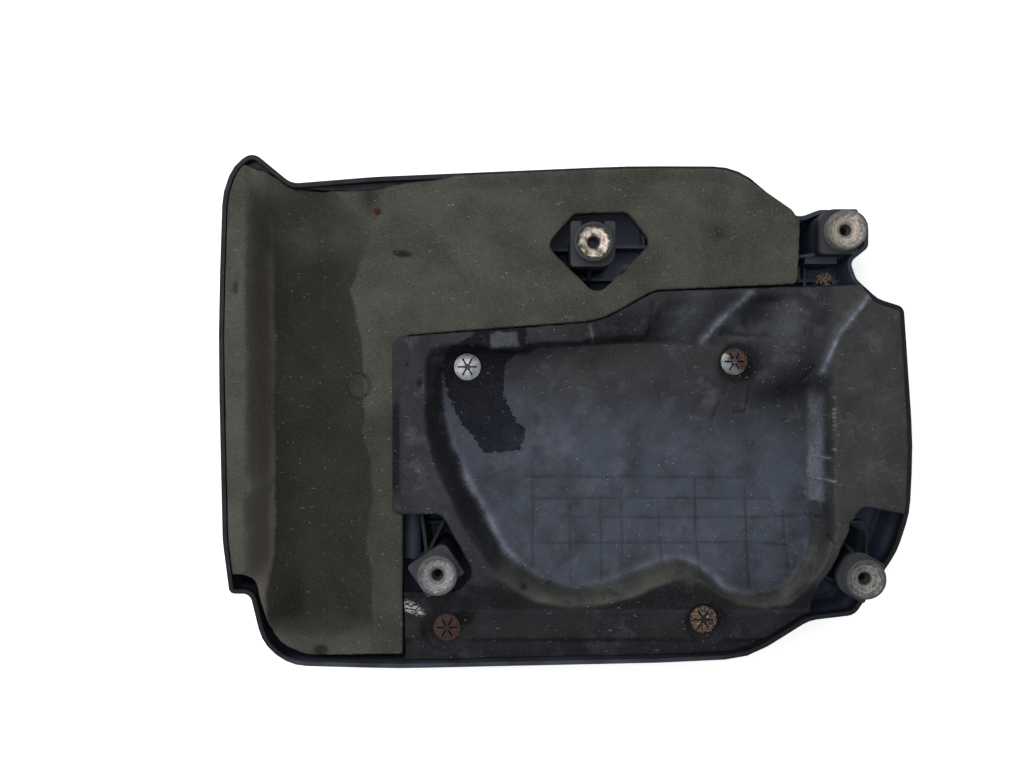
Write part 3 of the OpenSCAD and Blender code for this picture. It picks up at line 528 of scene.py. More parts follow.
def pad_masks(xy):
    """Stains, scuffs and tints of the pad, with its painted shade and painted highlights, each from 0 to 1.
    """
    x, y = xy.T
    stain = ramp(inset(np.array(STAIN), stirred(xy, 1.6, rough, 9, 63)), -3.2, 3.2)
    into, out = inset(np.array(BRINK), xy), -inset(np.array(FOOT), xy)
    low = (out < 0) * 1.0
    blue = low * ramp(-(y + 0.12 * x) + 9 * rough(xy, 34, 66), -30, 22)
    band = ramp(into, -2, 2) * ramp(out, -2, 3) * (1 - ramp(y, -92, -78)) * ramp(x, -50, -36)
    brown = 0.5 * low * ramp(y - 0.25 * x + 8 * rough(xy, 34, 67), -2, 26) * ramp(x, -30, 20)
    brown += (0.4 * (1 - ramp(y, FRONT + 31, FRONT + 36)) * ramp(y, FRONT + 17, FRONT + 20)
              * ramp(rough(xy, 30, 68), -0.6, 0.5))
    brown += ramp(x, 168, 176)
    # darker front flange, with painted shade along its steps and at the brink above the front wall
    shade = 0.3 * (1 - ramp(y, FRONT + 16, FRONT + 18.5))
    shade = np.maximum(shade, 0.5 * (1 - ramp(y, FRONT + 32, FRONT + 36)) * (1 + 0.2 * rough(xy, 30, 81)))
    shade += 0.6 * (1 - ramp(y, -116, -104)) * ramp(y, FRONT + 35, FRONT + 38) * (1 - ramp(into, -1, 4))
    # painted shade on the left wall of the basin
    left_wall = (ramp(into, -0.5, 1.5) * ramp(out, -1, 1.5) * (1 - ramp(x, -22, 0))
                 * ramp(y, -112, -80) * (1 - ramp(y, 26, 40)))
    shade = np.maximum(shade, 0.5 * left_wall)
    # painted shade in the dip, on the back wall of the basin and under the hump
    shade = np.maximum(shade, 0.5 * bump(xy, PAD_DIP, 11, 1.6, 60))
    shade = np.maximum(shade, 0.6 * ramp(into, 0, 1) * ramp(out, 0, 1) * (x > -70) * (x < 50) * (y > 36))
    shade = np.maximum(shade, 0.75 * bump(xy, (144.1, 13.9), 9, 2.2, 8))
    # painted shade in the holes
    for place, r, stretch, turn in HOLES:
        shade = np.maximum(shade, bump(xy, place, r * 1.1, stretch, turn))
    # painted highlights on the crease tops, with scuffs
    scuff_and_highlight = np.zeros(len(xy))
    for line, _, width, bright in CREASES:
        far, _ = from_line(line, xy)
        core = 0.5 * np.exp(-(far / width) ** 2) + 0.6 * np.exp(-(far / (0.4 * width)) ** 2)
        scuff_and_highlight = np.maximum(scuff_and_highlight, bright * core * (0.75 + 0.35 * noise(xy, 2.6, 71)))
    # painted sheen on the facet of the right wall
    facet_sheen = ramp(x + 1.5 * rough(xy, 4, 72), 160.5, 162) * (1 - ramp(x, 168.5, 170.5))
    facet_sheen *= (ramp(y, -62 + 4 * noise(xy, 4, 73), -58) * (1 - ramp(y, 4, 16))
              * (0.3 + 0.22 * ramp(-y, 5, 40)) * (0.8 + 0.4 * noise(xy * (1.5, 1), 9, 84)))
    # painted highlights along the foot of the walls
    foot_highlight = np.exp(-((out + 0.5) / 2.6) ** 2) * (into > 0)
    foot_highlight *= (bump(xy, (-62.3, -52.6), 9, 2.2, -62) + bump(xy, (-41.7, -87.1), 10, 2.6, -56)
             + 0.5 * bump(xy, (-72.3, -19.3), 7, 2, -60))
    front_foot_highlight = bump(xy, (103.7, -114.9), 9, 2.4, -40) + 0.5 * bump(xy, (55.9, -102.9), 26, 2, 0)
    foot_highlight += 0.75 * np.exp(-((out + 1) / 2.6) ** 2) * front_foot_highlight
    foot_highlight *= 0.65 + 0.5 * noise(xy, 6, 82)
    scuff_and_highlight = np.maximum(scuff_and_highlight, np.maximum(facet_sheen, 0.8 * foot_highlight))
    patch = ramp(rough(xy, 13, 83), 0.0, 0.6) * (
        bump(xy, (87.2, -63.8), 24, 1.3, 0) + 0.6 * bump(xy, (6.1, -19.3), 34, 1.6, 60))
    scuff_and_highlight = np.maximum(scuff_and_highlight, 0.26 * patch * low)
    # painted light on the hump and the tongue
    scuff_and_highlight = np.maximum(scuff_and_highlight, 0.2 * bump(xy, (142.6, 54.8), 11, 1.5, 75) * ramp(into, 0, 6))
    scuff_and_highlight = np.maximum(scuff_and_highlight, 0.2 * bump(xy, (79.8, 62.5), 9, 1.6, 50))
    scratch, _ = from_line([(173.5, 8.8), (173.5, -52.3)], xy)
    scuff_and_highlight = np.maximum(scuff_and_highlight, 0.9 * (scratch < 0.5) * ramp(noise(xy * (0, 1), 5, 74), -0.3, 0.1))
    block = inset(np.array(BLOCK), stirred(xy, 0.5, noise, 4, 76))
    scuff_and_highlight = np.maximum(scuff_and_highlight, 0.2 * ramp(block, -0.6, 0.6))
    stain = np.maximum(stain, 0.9 * (1 - ramp(np.abs(block + 2), 1.2, 3.4))) * (1 - ramp(block, 0, 0.8))
    # painted shade in the lines pressed into the floor and in the cuts
    line = np.zeros(len(xy))
    for k, points in enumerate(GRID):
        far, _ = from_line(points, xy)
        line = np.maximum(line, (1.0 if k in (4, 5, 6) else 0.8) * (1 - ramp(far, 0.35, 0.9))
                          * (0.65 + 0.35 * noise(xy, 8, 78)))
    for points, _, width in CUTS:
        line = np.maximum(line, 0.8 * (1 - ramp(from_line(points, xy)[0], 0.4 * width, 1.2 * width)))
    # painted shade on the back wall left of the tongue
    shade = np.maximum(shade, 0.75 * bump(xy, (35.9, 51.1), 17, 1.9, 4) * (into < 4))
    # painted shade along the edge where the pad laps over the mat
    lap_shade = 1 - ramp(np.abs(x - LAP_EDGE_X), 1.6, 3.2)
    shade = np.maximum(shade, 0.8 * lap_shade * ramp(y, -60, -45) * (1 - ramp(y, 0, 20)))
    # wet dirt round the push nuts, with painted shade in their sunk pockets
    for place, r, stretch, turn in NUT_DIRT_AND_SHADE:
        shade = np.maximum(shade, 1.6 * bump(xy, place, r, stretch, turn) * (0.85 + 0.3 * rough(xy, 8, 79)))
    chalk = 1.5 * bump(xy, (-102.4, -127.8), 2.9, 2.6, -27)
    olive = band * (1 - 0.6 * ramp(into, 3, 12)) * (1 - 0.5 * ramp(x, 150, 160))
    pores = ramp(-x + 4 * rough(xy, 20, 75), 86, 96) * ramp(y, -60, -20)
    return {"stain": stain, "olive": olive, "rust": np.clip(brown, 0, 1), "shade": shade, "scuff_and_highlight": scuff_and_highlight,
            "blue": blue, "line": line, "chalk": chalk, "pores": pores}


def mat_plain(xy):
    """Height of the mat's top as in the CAD source."""
    x, y = xy.T
    a, b = LEFT + STRIP_W, LEFT + STRIP_W + TROUGH_W
    trough = (ramp(x, a, a + 12) * (1 - ramp(x, b, b + SLOPE_W)) * ramp(y, FRONT + 18, FRONT + 32)
              * (1 - ramp(y, BACK - 40, BACK - 27))
              * (1 - (1 - ramp(x, a + 10, a + 36)) * (1 - ramp(y, FRONT + 46, FRONT + 74))))
    return MAT_Z + STRIP_UP * (1 - ramp(x, a - 2, a + 5)) - TROUGH_H * trough


def pad_plain(xy):
    """Height of the pad without its small marks."""
    y = xy[:, 1]
    flange = FLANGE_Z - 8 * (1 - ramp(y, FRONT + 38, FRONT + 50)) - 3 * (1 - ramp(y, FRONT + 15, FRONT + 20))
    into, out = inset(np.array(BRINK), xy), -inset(np.array(FOOT), xy)
    t = np.where(into <= 0, 0, np.where(out <= 0, 1, into / np.maximum(into + out, 1e-6)))
    return flange + (FLOOR_Z - flange) * smooth(t)


def pocket(z, xy, place, seat, sunk):
    """The pad's surface pressed down to the seat of a push nut, and the foam sunk round it."""
    r = np.hypot(xy[:, 0] - place[0], xy[:, 1] - place[1])
    inner, outer, wander, aside = 9.6, 10.6, 0, (0, 0)
    if sunk:
        inner, outer, height = sunk
        z = np.where(z < height, z + (height - z) * np.exp(-(r / 24) ** 2), z)
        wander = 1.5 * noise(xy, 8, 91)
        aside = (2.2 if place[0] > 0 else -3.0, -2.0)
    off = np.hypot(xy[:, 0] - place[0] - aside[0], xy[:, 1] - place[1] - aside[1])
    k = np.maximum(1 - ramp(off + wander, inner, outer), 1 - ramp(r, 9.4, 10.4))
    return z + (seat - z) * k


# Materials
def linear(code):
    """sRGB hex code as linear RGBA."""
    parts = [int(code[i:i + 2], 16) / 255 for i in (1, 3, 5)]
    return [c / 12.92 if c <= 0.04045 else ((c + 0.055) / 1.055) ** 2.4 for c in parts] + [1.0]


def add(tree, kind, inputs=None, **settings):
    """A node with its settings, and its inputs as values or as sockets to link."""
    node = tree.nodes.new(kind)
    for key, value in settings.items():
        setattr(node, key, value)
    for key, value in (inputs or {}).items():
        if isinstance(value, bpy.types.NodeSocket):
            tree.links.new(value, node.inputs[key])
        else:
            node.inputs[key].default_value = value
    return node


def material(name):
    """Empty material with its output node."""
    mat = bpy.data.materials.new(name)
    mat.use_nodes = True
    mat.node_tree.nodes.clear()
    return mat, mat.node_tree, add(mat.node_tree, "ShaderNodeOutputMaterial")


def position(tree):
    """Position on the object, in millimetres."""
    coords = add(tree, "ShaderNodeTexCoord")
    return add(tree, "ShaderNodeVectorMath", {0: coords.outputs["Object"], "Scale": 1000.0},
               operation="SCALE").outputs[0]


def cloud(tree, where, size, detail=3.0, roughness=0.55):
    """Noise of patches about size millimetres wide."""
    return add(tree, "ShaderNodeTexNoise", {"Vector": where, "Scale": 1.0 / size, "Detail": detail,
                                            "Roughness": roughness}).outputs["Fac"]


def cells(tree, where, size, randomness=1.0):
    """Distance to the nearest of random points about size millimetres apart, in that unit."""
    return add(tree, "ShaderNodeTexVoronoi", {"Vector": where, "Scale": 1.0 / size, "Randomness": randomness})


def level(tree, value, a, b, to_a=0.0, to_b=1.0):
    """The value moved from the range a..b to to_a..to_b, and kept in it."""
    return add(tree, "ShaderNodeMapRange", {"Value": value, "From Min": a, "From Max": b, "To Min": to_a,
                                            "To Max": to_b}).outputs["Result"]


def combined(tree, operation, a, b):
    """Two values put together by a maths node."""
    return add(tree, "ShaderNodeMath", {0: a, 1: b}, operation=operation).outputs[0]


def times(tree, a, b):
    """The product of two values."""
    return combined(tree, "MULTIPLY", a, b)


def joined_vectors(tree, operation, a, b):
    """Two vectors put together by a vector maths node."""
    return add(tree, "ShaderNodeVectorMath", {0: a, 1: b}, operation=operation).outputs[0]


def framed(centre):
    """A place of the CAD source as a point in the frame, in millimetres."""
    return (centre[0] + SHIFT[0], centre[1] + SHIFT[1], 0.0)


def over(tree, base, colour, share):
    """A colour laid over base by share."""
    return add(tree, "ShaderNodeMix", {"Factor": share, "A": base, "B": colour},
               data_type="RGBA").outputs["Result"]


def tint(tree, base, code, share):
    """The colour of a hex code laid over base by share."""
    return over(tree, base, linear(code), share)


def mask(tree, name):
    """A mark of the mesh, from 0 to 1, by its name."""
    return add(tree, "ShaderNodeAttribute", attribute_name=name).outputs["Fac"]


def specks(tree, where, size, share, radius, stretch=1.0, turn=0.0):
    """Sparse irregular specks, or short fibres where they are stretched."""
    wander = add(tree, "ShaderNodeTexNoise", {"Vector": where, "Scale": 0.9, "Detail": 2.0}).outputs["Color"]
    moved = add(tree, "ShaderNodeVectorMath", {0: wander, "Scale": 1.4}, operation="SCALE").outputs[0]
    moved = joined_vectors(tree, "ADD", where, moved)
    spun = add(tree, "ShaderNodeMapping", {"Vector": moved, "Rotation": (0.0, 0.0, math.radians(turn)),
                                           "Scale": (1 / stretch, 1.0, 1.0)}).outputs[0]
    dots = cells(tree, spun, size)
    picked = level(tree, dots.outputs["Color"], 1 - share, 1 - share + 0.01)
    near = level(tree, dots.outputs["Distance"], 1.3 * radius / size, 0.7 * radius / size)
    return times(tree, picked, near)


def relief(tree, height, depth, strength, under=None):
    """Small bumps of that depth in metres, on top of the bumps under them."""
    inputs = {"Height": height, "Distance": depth, "Strength": strength}
    if under is not None:
        inputs["Normal"] = under
    return add(tree, "ShaderNodeBump", inputs).outputs["Normal"]


def grainy(tree, where, tone, size, dark, light, share):
    """The tone broken up by dark and light grains."""
    grain = cells(tree, where, size).outputs["Color"]
    tone = over(tree, tone, linear(dark), level(tree, grain, 0.42, 0.15, 0, share))
    return over(tree, tone, linear(light), level(tree, grain, 0.58, 0.85, 0, share))


def open_foam():
    """Cut open-cell polyurethane foam, sooty olive grey."""
    mat, tree, out = material("Polyurethane foam, cut open cell")
    where = position(tree)
    # mottled olive grey, as dirt soaks in unevenly
    tone = tint(tree, linear("#484842"), "#393a35", level(tree, cloud(tree, where, 30, 4), 0.38, 0.62))
    tone = tint(tree, tone, "#3d403a", level(tree, cloud(tree, where, 9, 4), 0.5, 0.72, 0, 0.5))
    # painted shade in the trough, the dents, the ring groove and the slit, and darker foam right of the
    # trough toward the front
    tone = tint(tree, tone, "#151513", level(tree, mask(tree, "shade"), 0, 1, 0, 0.9))
    # painted light on the steep wall of the trough, which the lamps leave in shade, stronger toward the
    # front, and a warmer tint there
    tone = tint(tree, tone, "#6e6c66", times(tree, mask(tree, "wall"), 0.5))
    tone = tint(tree, tone, "#4e463e", times(tree, mask(tree, "warm"), 0.5))
    # brown staining from the nuts
    tone = tint(tree, tone, "#3a312b", level(tree, mask(tree, "rust"), 0, 1, 0, 0.6))
    # pale greenish dust
    tone = tint(tree, tone, "#5b6055", level(tree, mask(tree, "dust"), 0, 1, 0, 0.5))
    # cut cells, seen as fine grain
    share = level(tree, mask(tree, "shade"), 0, 1, 0.26, 0.08)
    tone = grainy(tree, where, tone, 0.55, "#20201d", "#66665e", share)
    # open cells as dark pinholes
    pits = cells(tree, where, 2.6)
    hole = times(tree, level(tree, pits.outputs["Distance"], 0.15, 0.07),
                 level(tree, cloud(tree, where, 12), 0.4, 0.62))
    tone = tint(tree, tone, "#161614", times(tree, hole, 0.75))
    # pale lint and fibres
    tone = tint(tree, tone, "#999588", times(tree, specks(tree, where, 3.4, 0.34, 0.27), 0.9))
    for turn in (20, 75, 140):
        tone = tint(tree, tone, "#7e7b70", times(tree, specks(tree, where, 2.1, 0.28, 0.18, 8, turn), 0.85))
    grain = cells(tree, where, 0.8)
    skin = relief(tree, grain.outputs["Distance"], 0.0004, 0.8)
    skin = relief(tree, cloud(tree, where, 4, 5), 0.0008, 0.5, skin)
    shader = add(tree, "ShaderNodeBsdfPrincipled", {
        "Base Color": tone, "Roughness": 0.97, "IOR": 1.5, "Specular IOR Level": 0.2,
        "Normal": skin})
    tree.links.new(shader.outputs["BSDF"], out.inputs["Surface"])
    return mat


def skinned_foam():
    """Compression-moulded foam with a satin skin, blue grey."""
    mat, tree, out = material("Polyurethane foam, moulded skin")
    where = position(tree)
    tone = tint(tree, linear("#26272b"), "#1e1f23", level(tree, cloud(tree, where, 32, 5), 0.38, 0.62))
    # oil film tints
    tone = tint(tree, tone, "#3b424f", times(tree, mask(tree, "blue"), 0.9))
    tone = tint(tree, tone, "#3a3937", times(tree, mask(tree, "rust"), 0.6))
    tone = tint(tree, tone, "#50524a", times(tree, mask(tree, "olive"), 0.75))
    # cloudy film of dirt
    tone = tint(tree, tone, "#17171a", level(tree, cloud(tree, where, 26, 6, 0.66), 0.44, 0.66, 0, 0.62))
    tone = tint(tree, tone, "#565960", level(tree, cloud(tree, where, 21, 7, 0.7), 0.53, 0.72, 0, 0.5))
    # painted shade where the surface turns in: walls, dips, holes, steps and edges, and the pools round the
    # nuts, which also hold dirt
    tone = tint(tree, tone, "#08090b", level(tree, mask(tree, "shade"), 0, 1.2, 0, 0.92))
    torn = level(tree, cloud(tree, where, 2.6, 5), 0.3, 0.7, -0.35, 0.35)
    stain = level(tree, combined(tree, "ADD", mask(tree, "stain"), torn), 0.42, 0.56)
    tone = tint(tree, tone, "#111117", times(tree, stain, 0.85))
    # painted shade in the pressed lines and cuts
    tone = tint(tree, tone, "#0c0c0f", times(tree, mask(tree, "line"), 0.85))
    # skin broken up by fine grain
    tone = grainy(tree, where, tone, 0.5, "#0c0d0f", "#4c4d52", 0.16)
    # pores of the flange
    pores = cells(tree, where, 1.7)
    hole = times(tree, level(tree, pores.outputs["Distance"], 0.26, 0.12), mask(tree, "pores"))
    tone = tint(tree, tone, "#0c0d0f", times(tree, hole, 0.75))
    # painted highlights on the creases, the feet of the walls, the right wall's facet, the hump and the
    # tongue, with scuffs worn into the skin
    worn = times(tree, mask(tree, "scuff_and_highlight"), level(tree, cloud(tree, where, 2.2, 6, 0.7), 0.36, 0.56, 0.45, 1))
    tone = tint(tree, tone, "#7f8696", times(tree, worn, 0.75))
    # white scuff
    streaks = add(tree, "ShaderNodeMapping", {"Vector": where, "Rotation": (0.0, 0.0, 0.5),
                                              "Scale": (0.5, 1.6, 1.0)}).outputs[0]
    tone = tint(tree, tone, "#b4b5b6", times(tree, level(tree, mask(tree, "chalk"), 0.1, 0.6),
                                                     level(tree, cloud(tree, streaks, 1.6, 4), 0.48, 0.58)))
    # pale dust specks and fibres
    tone = tint(tree, tone, "#96958f", times(tree, specks(tree, where, 3.4, 0.36, 0.26), 0.9))
    tone = tint(tree, tone, "#55565a", specks(tree, where, 1.7, 0.3, 0.2))
    for turn in (35, 110):
        tone = tint(tree, tone, "#77776f", times(tree, specks(tree, where, 2.2, 0.3, 0.18, 8, turn), 0.85))
    grain = cells(tree, where, 0.7)
    skin = relief(tree, grain.outputs["Distance"], 0.00015, 0.6)
    skin = relief(tree, cloud(tree, where, 3.5, 4), 0.0006, 0.5, skin)
    # stains and the painted shade take the gloss and the reflection away
    stain_and_shade = combined(tree, "MAXIMUM", stain, mask(tree, "shade"))
    gloss = level(tree, cloud(tree, where, 16), 0.3, 0.7, 0.52, 0.7)
    gloss = add(tree, "ShaderNodeMix", {"Factor": stain_and_shade, "A": gloss, "B": 0.85}).outputs[0]
    shader = add(tree, "ShaderNodeBsdfPrincipled", {
        "Base Color": tone, "Roughness": gloss, "IOR": 1.5,
        "Specular IOR Level": level(tree, stain_and_shade, 0, 1, 0.22, 0.05), "Normal": skin})
    tree.links.new(shader.outputs["BSDF"], out.inputs["Surface"])
    return mat


def black_plastic():
    """Injection-moulded polyamide, dusty inside."""
    mat, tree, out = material("Polyamide, injection moulded black")
    where = position(tree)
    axes = add(tree, "ShaderNodeSeparateXYZ", {0: where}).outputs
    tone = tint(tree, linear("#0a0d11"), "#141920", level(tree, cloud(tree, where, 26), 0.4, 0.7))
    # painted light: the inside is made lighter and bluer the deeper it lies, where little lamp light reaches,
    # over a bluish film
    tone = tint(tree, tone, "#3e4658", level(tree, axes["Z"], 54, 42, 0, 0.85))
    tone = tint(tree, tone, "#5c667c", level(tree, axes["Z"], 32, 8, 0, 0.9))
    # holder plates greyed by handling
    tone = tint(tree, tone, "#34353a", level(tree, axes["Z"], 60.5, 63, 0, 0.85))
    # painted reflection: the front edge made pale where its rounded lip catches the light
    rubbed = times(tree, level(tree, axes["Y"], -158, -163),
                   level(tree, cloud(tree, where, 14, 5), 0.35, 0.6, 0.4, 1))
    tone = tint(tree, tone, "#3a3e48", times(tree, rubbed, 0.8))
    # dust that lies on faces turned up, deep inside
    normal = add(tree, "ShaderNodeNewGeometry").outputs["Normal"]
    up = add(tree, "ShaderNodeSeparateXYZ", {0: normal}).outputs["Z"]
    dust = times(tree, times(tree, level(tree, up, 0.6, 1.0), level(tree, axes["Z"], 50, 40)),
                 level(tree, cloud(tree, where, 7, 5), 0.35, 0.7, 0.1, 0.75))
    tone = tint(tree, tone, "#4a4a4a", times(tree, dust, 0.4))
    tone = tint(tree, tone, "#7c7c7a", times(tree, specks(tree, where, 3.8, 0.26, 0.24), 0.8))
    grain = relief(tree, cloud(tree, where, 0.8, 2), 0.00008, 0.5)
    shader = add(tree, "ShaderNodeBsdfPrincipled", {
        "Base Color": tone, "Roughness": level(tree, cloud(tree, where, 9), 0.3, 0.7, 0.45, 0.65),
        "IOR": 1.53, "Specular IOR Level": 0.2, "Normal": grain})
    tree.links.new(shader.outputs["BSDF"], out.inputs["Surface"])
    return mat


def radius_from(tree, where, centre):
    """Distance from the axis of a socket, and position about that axis."""
    flat = joined_vectors(tree, "MULTIPLY", where, (1.0, 1.0, 0.0))
    offset = joined_vectors(tree, "SUBTRACT", flat, framed(centre))
    return add(tree, "ShaderNodeVectorMath", {0: offset}, operation="LENGTH").outputs["Value"], offset


def rubber(name, centre, base, mouth, crust, shine, seed):
    """Moulded rubber socket: body colour, colour of its worn funnel, crust and rings."""
    mat, tree, out = material(name)
    where = position(tree)
    r, around = radius_from(tree, where, centre)
    wobble = add(tree, "ShaderNodeTexNoise", {"Vector": where, "Scale": 0.22, "Detail": 4.0}).outputs["Fac"]
    uneven = combined(tree, "ADD", r, times(tree, combined(tree, "SUBTRACT", wobble, 0.5), 5.0))
    tone = tint(tree, linear(base), "#2a2b2e", level(tree, cloud(tree, where, 3, 5), 0.4, 0.7, 0, 0.6))
    # concentric wear rings
    rings_at = add(tree, "ShaderNodeCombineXYZ", {0: r, 1: float(seed)}).outputs[0]
    rings = cloud(tree, rings_at, 1 / 0.9, 5.0, 0.7)
    worn = times(tree, level(tree, rings, 0.42, 0.62, 0, 0.5), level(tree, uneven, 11.6, 9.0))
    tone = tint(tree, tone, mouth, worn)
    # scratches that swirl round the funnel
    axes = add(tree, "ShaderNodeSeparateXYZ", {0: around}).outputs
    angle = combined(tree, "ARCTAN2", axes["Y"], axes["X"])
    turned = combined(tree, "ADD", angle, times(tree, r, 0.12))
    polar = add(tree, "ShaderNodeCombineXYZ", {
        0: times(tree, turned, 5.0), 1: times(tree, r, 0.5), 2: float(seed)}).outputs[0]
    scratch = cloud(tree, polar, 1 / 1.4, 6.0, 0.7)
    scratch = times(tree, level(tree, scratch, 0.52, 0.62), level(tree, uneven, 11.4, 9.6))
    tone = tint(tree, tone, mouth, times(tree, scratch, level(tree, r, 4.0, 6.0, 0, 0.85)))
    # crust around the mouth
    deposit = times(tree, times(tree, level(tree, uneven, 10.2, 9.2), level(tree, r, 3.6, 4.8)),
                    level(tree, cloud(tree, where, 4.5, 5), 0.36, 0.56))
    patches = level(tree, cloud(tree, where, 5.5, 6, 0.65), 0.46, 0.6, 0, 0.85)
    caked = tint(tree, linear(crust), "#7d6a5c", patches)
    tone = over(tree, tone, caked, times(tree, deposit, shine))
    # painted shade down the throat, dark brown toward the axis
    tone = tint(tree, tone, "#2a221d", level(tree, r, 4.9, 3.5, 0, 0.9))
    lift = combined(tree, "ADD", times(tree, deposit, 0.9), rings)
    bumps = relief(tree, lift, 0.0005, 0.7)
    bumps = relief(tree, cloud(tree, where, 0.9, 3), 0.00015, 0.7, bumps)
    shader = add(tree, "ShaderNodeBsdfPrincipled", {
        "Base Color": tone, "Roughness": 0.72, "IOR": 1.52, "Normal": bumps})
    tree.links.new(shader.outputs["BSDF"], out.inputs["Surface"])
    return mat


def zinc(name, rusty, bloom, seed, centre=(0, 0), lean=0.0):
    """Stamped spring steel, zinc plated, with rust over part of it."""
    mat, tree, out = material(name)
    where = joined_vectors(tree, "ADD", position(tree), (seed * 3.0, seed * 7.0, 0.0))
    # more rust toward one side where lean is set
    toward = joined_vectors(tree, "SUBTRACT", position(tree), framed(centre))
    toward = add(tree, "ShaderNodeVectorMath", {0: toward, 1: (0.7 * lean, 0.7 * lean, 0.0)},
                 operation="DOT_PRODUCT").outputs["Value"]
    patchy = combined(tree, "ADD", cloud(tree, where, 5, 5, 0.65), toward)
    rust = level(tree, patchy, 0.62 - 0.5 * rusty, 0.7 - 0.5 * rusty)
    brown = tint(tree, linear("#2c1c17"), bloom, level(tree, cloud(tree, where, 1.6, 5), 0.45, 0.72))
    brown = tint(tree, brown, "#17110f", level(tree, cloud(tree, where, 2.8, 5), 0.5, 0.66, 0, 0.7))
    # the leaning one is also duller
    sheen = 0.55 if lean else 1.0
    light, dark = ([c * sheen for c in linear(code)] for code in ("#a9abab", "#7f8284"))
    tone = over(tree, light, dark, level(tree, cloud(tree, where, 3.5, 4), 0.35, 0.7))
    grain = relief(tree, cloud(tree, where, 0.9, 4), 0.0002, times(tree, rust, 0.8))
    shader = add(tree, "ShaderNodeBsdfPrincipled", {
        "Base Color": over(tree, tone, brown, rust), "Metallic": level(tree, rust, 0, 1, 1.0, 0.0),
        "Roughness": level(tree, rust, 0, 1, 0.48, 0.85), "Normal": grain})
    tree.links.new(shader.outputs["BSDF"], out.inputs["Surface"])
    return mat


def dirt(name, colour):
    """Dried earth and foam crumbs."""
    mat, tree, out = material("Dried dirt " + name)
    where = position(tree)
    tone = tint(tree, linear(colour), "#2a241f", level(tree, cloud(tree, where, 1.2, 4), 0.42, 0.6, 0, 0.8))
    shader = add(tree, "ShaderNodeBsdfPrincipled", {"Base Color": tone, "Roughness": 0.95, "IOR": 1.5})
    tree.links.new(shader.outputs["BSDF"], out.inputs["Surface"])
    return mat


# Small debris
def blob(name, centre, size, z, seed, flat=0.55, splits=2):
    """One lump of dirt."""
    bm = bmesh.new()
    bmesh.ops.create_icosphere(bm, subdivisions=splits, radius=size * 0.0005)
    rng = np.random.default_rng(seed)
    push = rng.uniform(0.6, 1.25, len(bm.verts))
    for v, k in zip(bm.verts, push):
        v.co *= k
        v.co.z *= flat
    bmesh.ops.smooth_vert(bm, verts=bm.verts, factor=0.35, use_axis_x=True, use_axis_y=True, use_axis_z=True)
    x, y, _ = framed(centre)
    bmesh.ops.translate(bm, verts=bm.verts, vec=(x * 0.001, y * 0.001, z * 0.001))
    mesh = bpy.data.meshes.new(name)
    bm.to_mesh(mesh)
    bm.free()
    return mesh


def joined(name, meshes):
    """One object from several meshes."""
    bm = bmesh.new()
    for m in meshes:
        bm.from_mesh(m)
        bpy.data.meshes.remove(m)
    mesh = bpy.data.meshes.new(name)
    bm.to_mesh(mesh)
    bm.free()
    mesh.polygons.foreach_set("use_smooth", [True] * len(mesh.polygons))
    obj = bpy.data.objects.new(name, mesh)
    bpy.context.scene.collection.objects.link(obj)
    return obj


def finish_piece(obj, mat, nodes=()):
    """Material, body, slot and the CAD nodes that the piece stands for."""
    obj.data.materials.append(mat)
    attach(obj, "root")
    if nodes:
        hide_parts(*nodes)


def paint(node, mat):
    """The CAD node keeps its mesh; its material slots get mat."""
    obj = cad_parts[node]
    for s in obj.material_slots:
        s.material = mat


# Properties
class CoverProperties(bpy.types.PropertyGroup):
    """Mesh spacing, cut edges and studio light"""
    mat_spacing: bpy.props.FloatProperty(
        name="Mat mesh spacing", description="Distance between mesh points on the foam mat",
        default=0.0017, min=0.0008, max=0.01, unit="LENGTH", subtype="DISTANCE", precision=4)
    pad_spacing: bpy.props.FloatProperty(
        name="Pad mesh spacing", description="Distance between mesh points on the moulded pad",
        default=0.0015, min=0.0008, max=0.01, unit="LENGTH", subtype="DISTANCE", precision=4)
    cut_edge: bpy.props.FloatProperty(
        name="Cut edge radius", description="Rounding of the cut foam edges", default=0.0011,
        min=0.0001, max=0.003, unit="LENGTH", subtype="DISTANCE", precision=4)
    rag: bpy.props.FloatProperty(
        name="Ragged edge", description="How far the cut edges wander", default=0.0004,
        min=0.0, max=0.002, unit="LENGTH", subtype="DISTANCE", precision=4)
    light_power: bpy.props.FloatProperty(
        name="Light power", description="Power of the overhead softbox", default=17.0, min=0.0, max=200.0,
        unit="POWER", subtype="POWER")
    sky: bpy.props.FloatProperty(
        name="Sky strength", description="Strength of the even fill light", default=0.55, min=0.0, max=5.0)


# Operators
class COVER_OT_foam_mat(bpy.types.Operator):
    """Fine mesh and finish of the open-cell foam mat"""
    bl_idname = "cover.foam_mat"
    bl_label = "Foam mat"

    def execute(self, context):
        p = context.scene.cover
        step, edge, rag = p.mat_spacing * 1000, p.cut_edge * 1000, p.rag * 1000
        loops = [wall_line(lambda at: WALL + 0.4 - 2.0 * over_rim(at)),
                 ragged(outline(MAT_EDGE), step, rag, 81), ragged(outline(WINDOW), step, rag, 84)]
        depth = sheet_depth(loops)
        xy, tri = triangulate(loops, depth, step, [])
        z = mat_top(xy)
        around = [mat_plain(xy + s) for s in ((0, 0), (6, 0), (-6, 0), (0, 6), (0, -6))]
        under = np.minimum(np.minimum.reduce(around) - MAT_T + 0.6, z - 3)
        obj = sheet_mesh("foam_mat_fine", xy, tri, z - rounded(depth(xy), edge), under, mat_masks(xy))
        finish_piece(obj, open_foam(), ["foam_mat"])
        return {"FINISHED"}


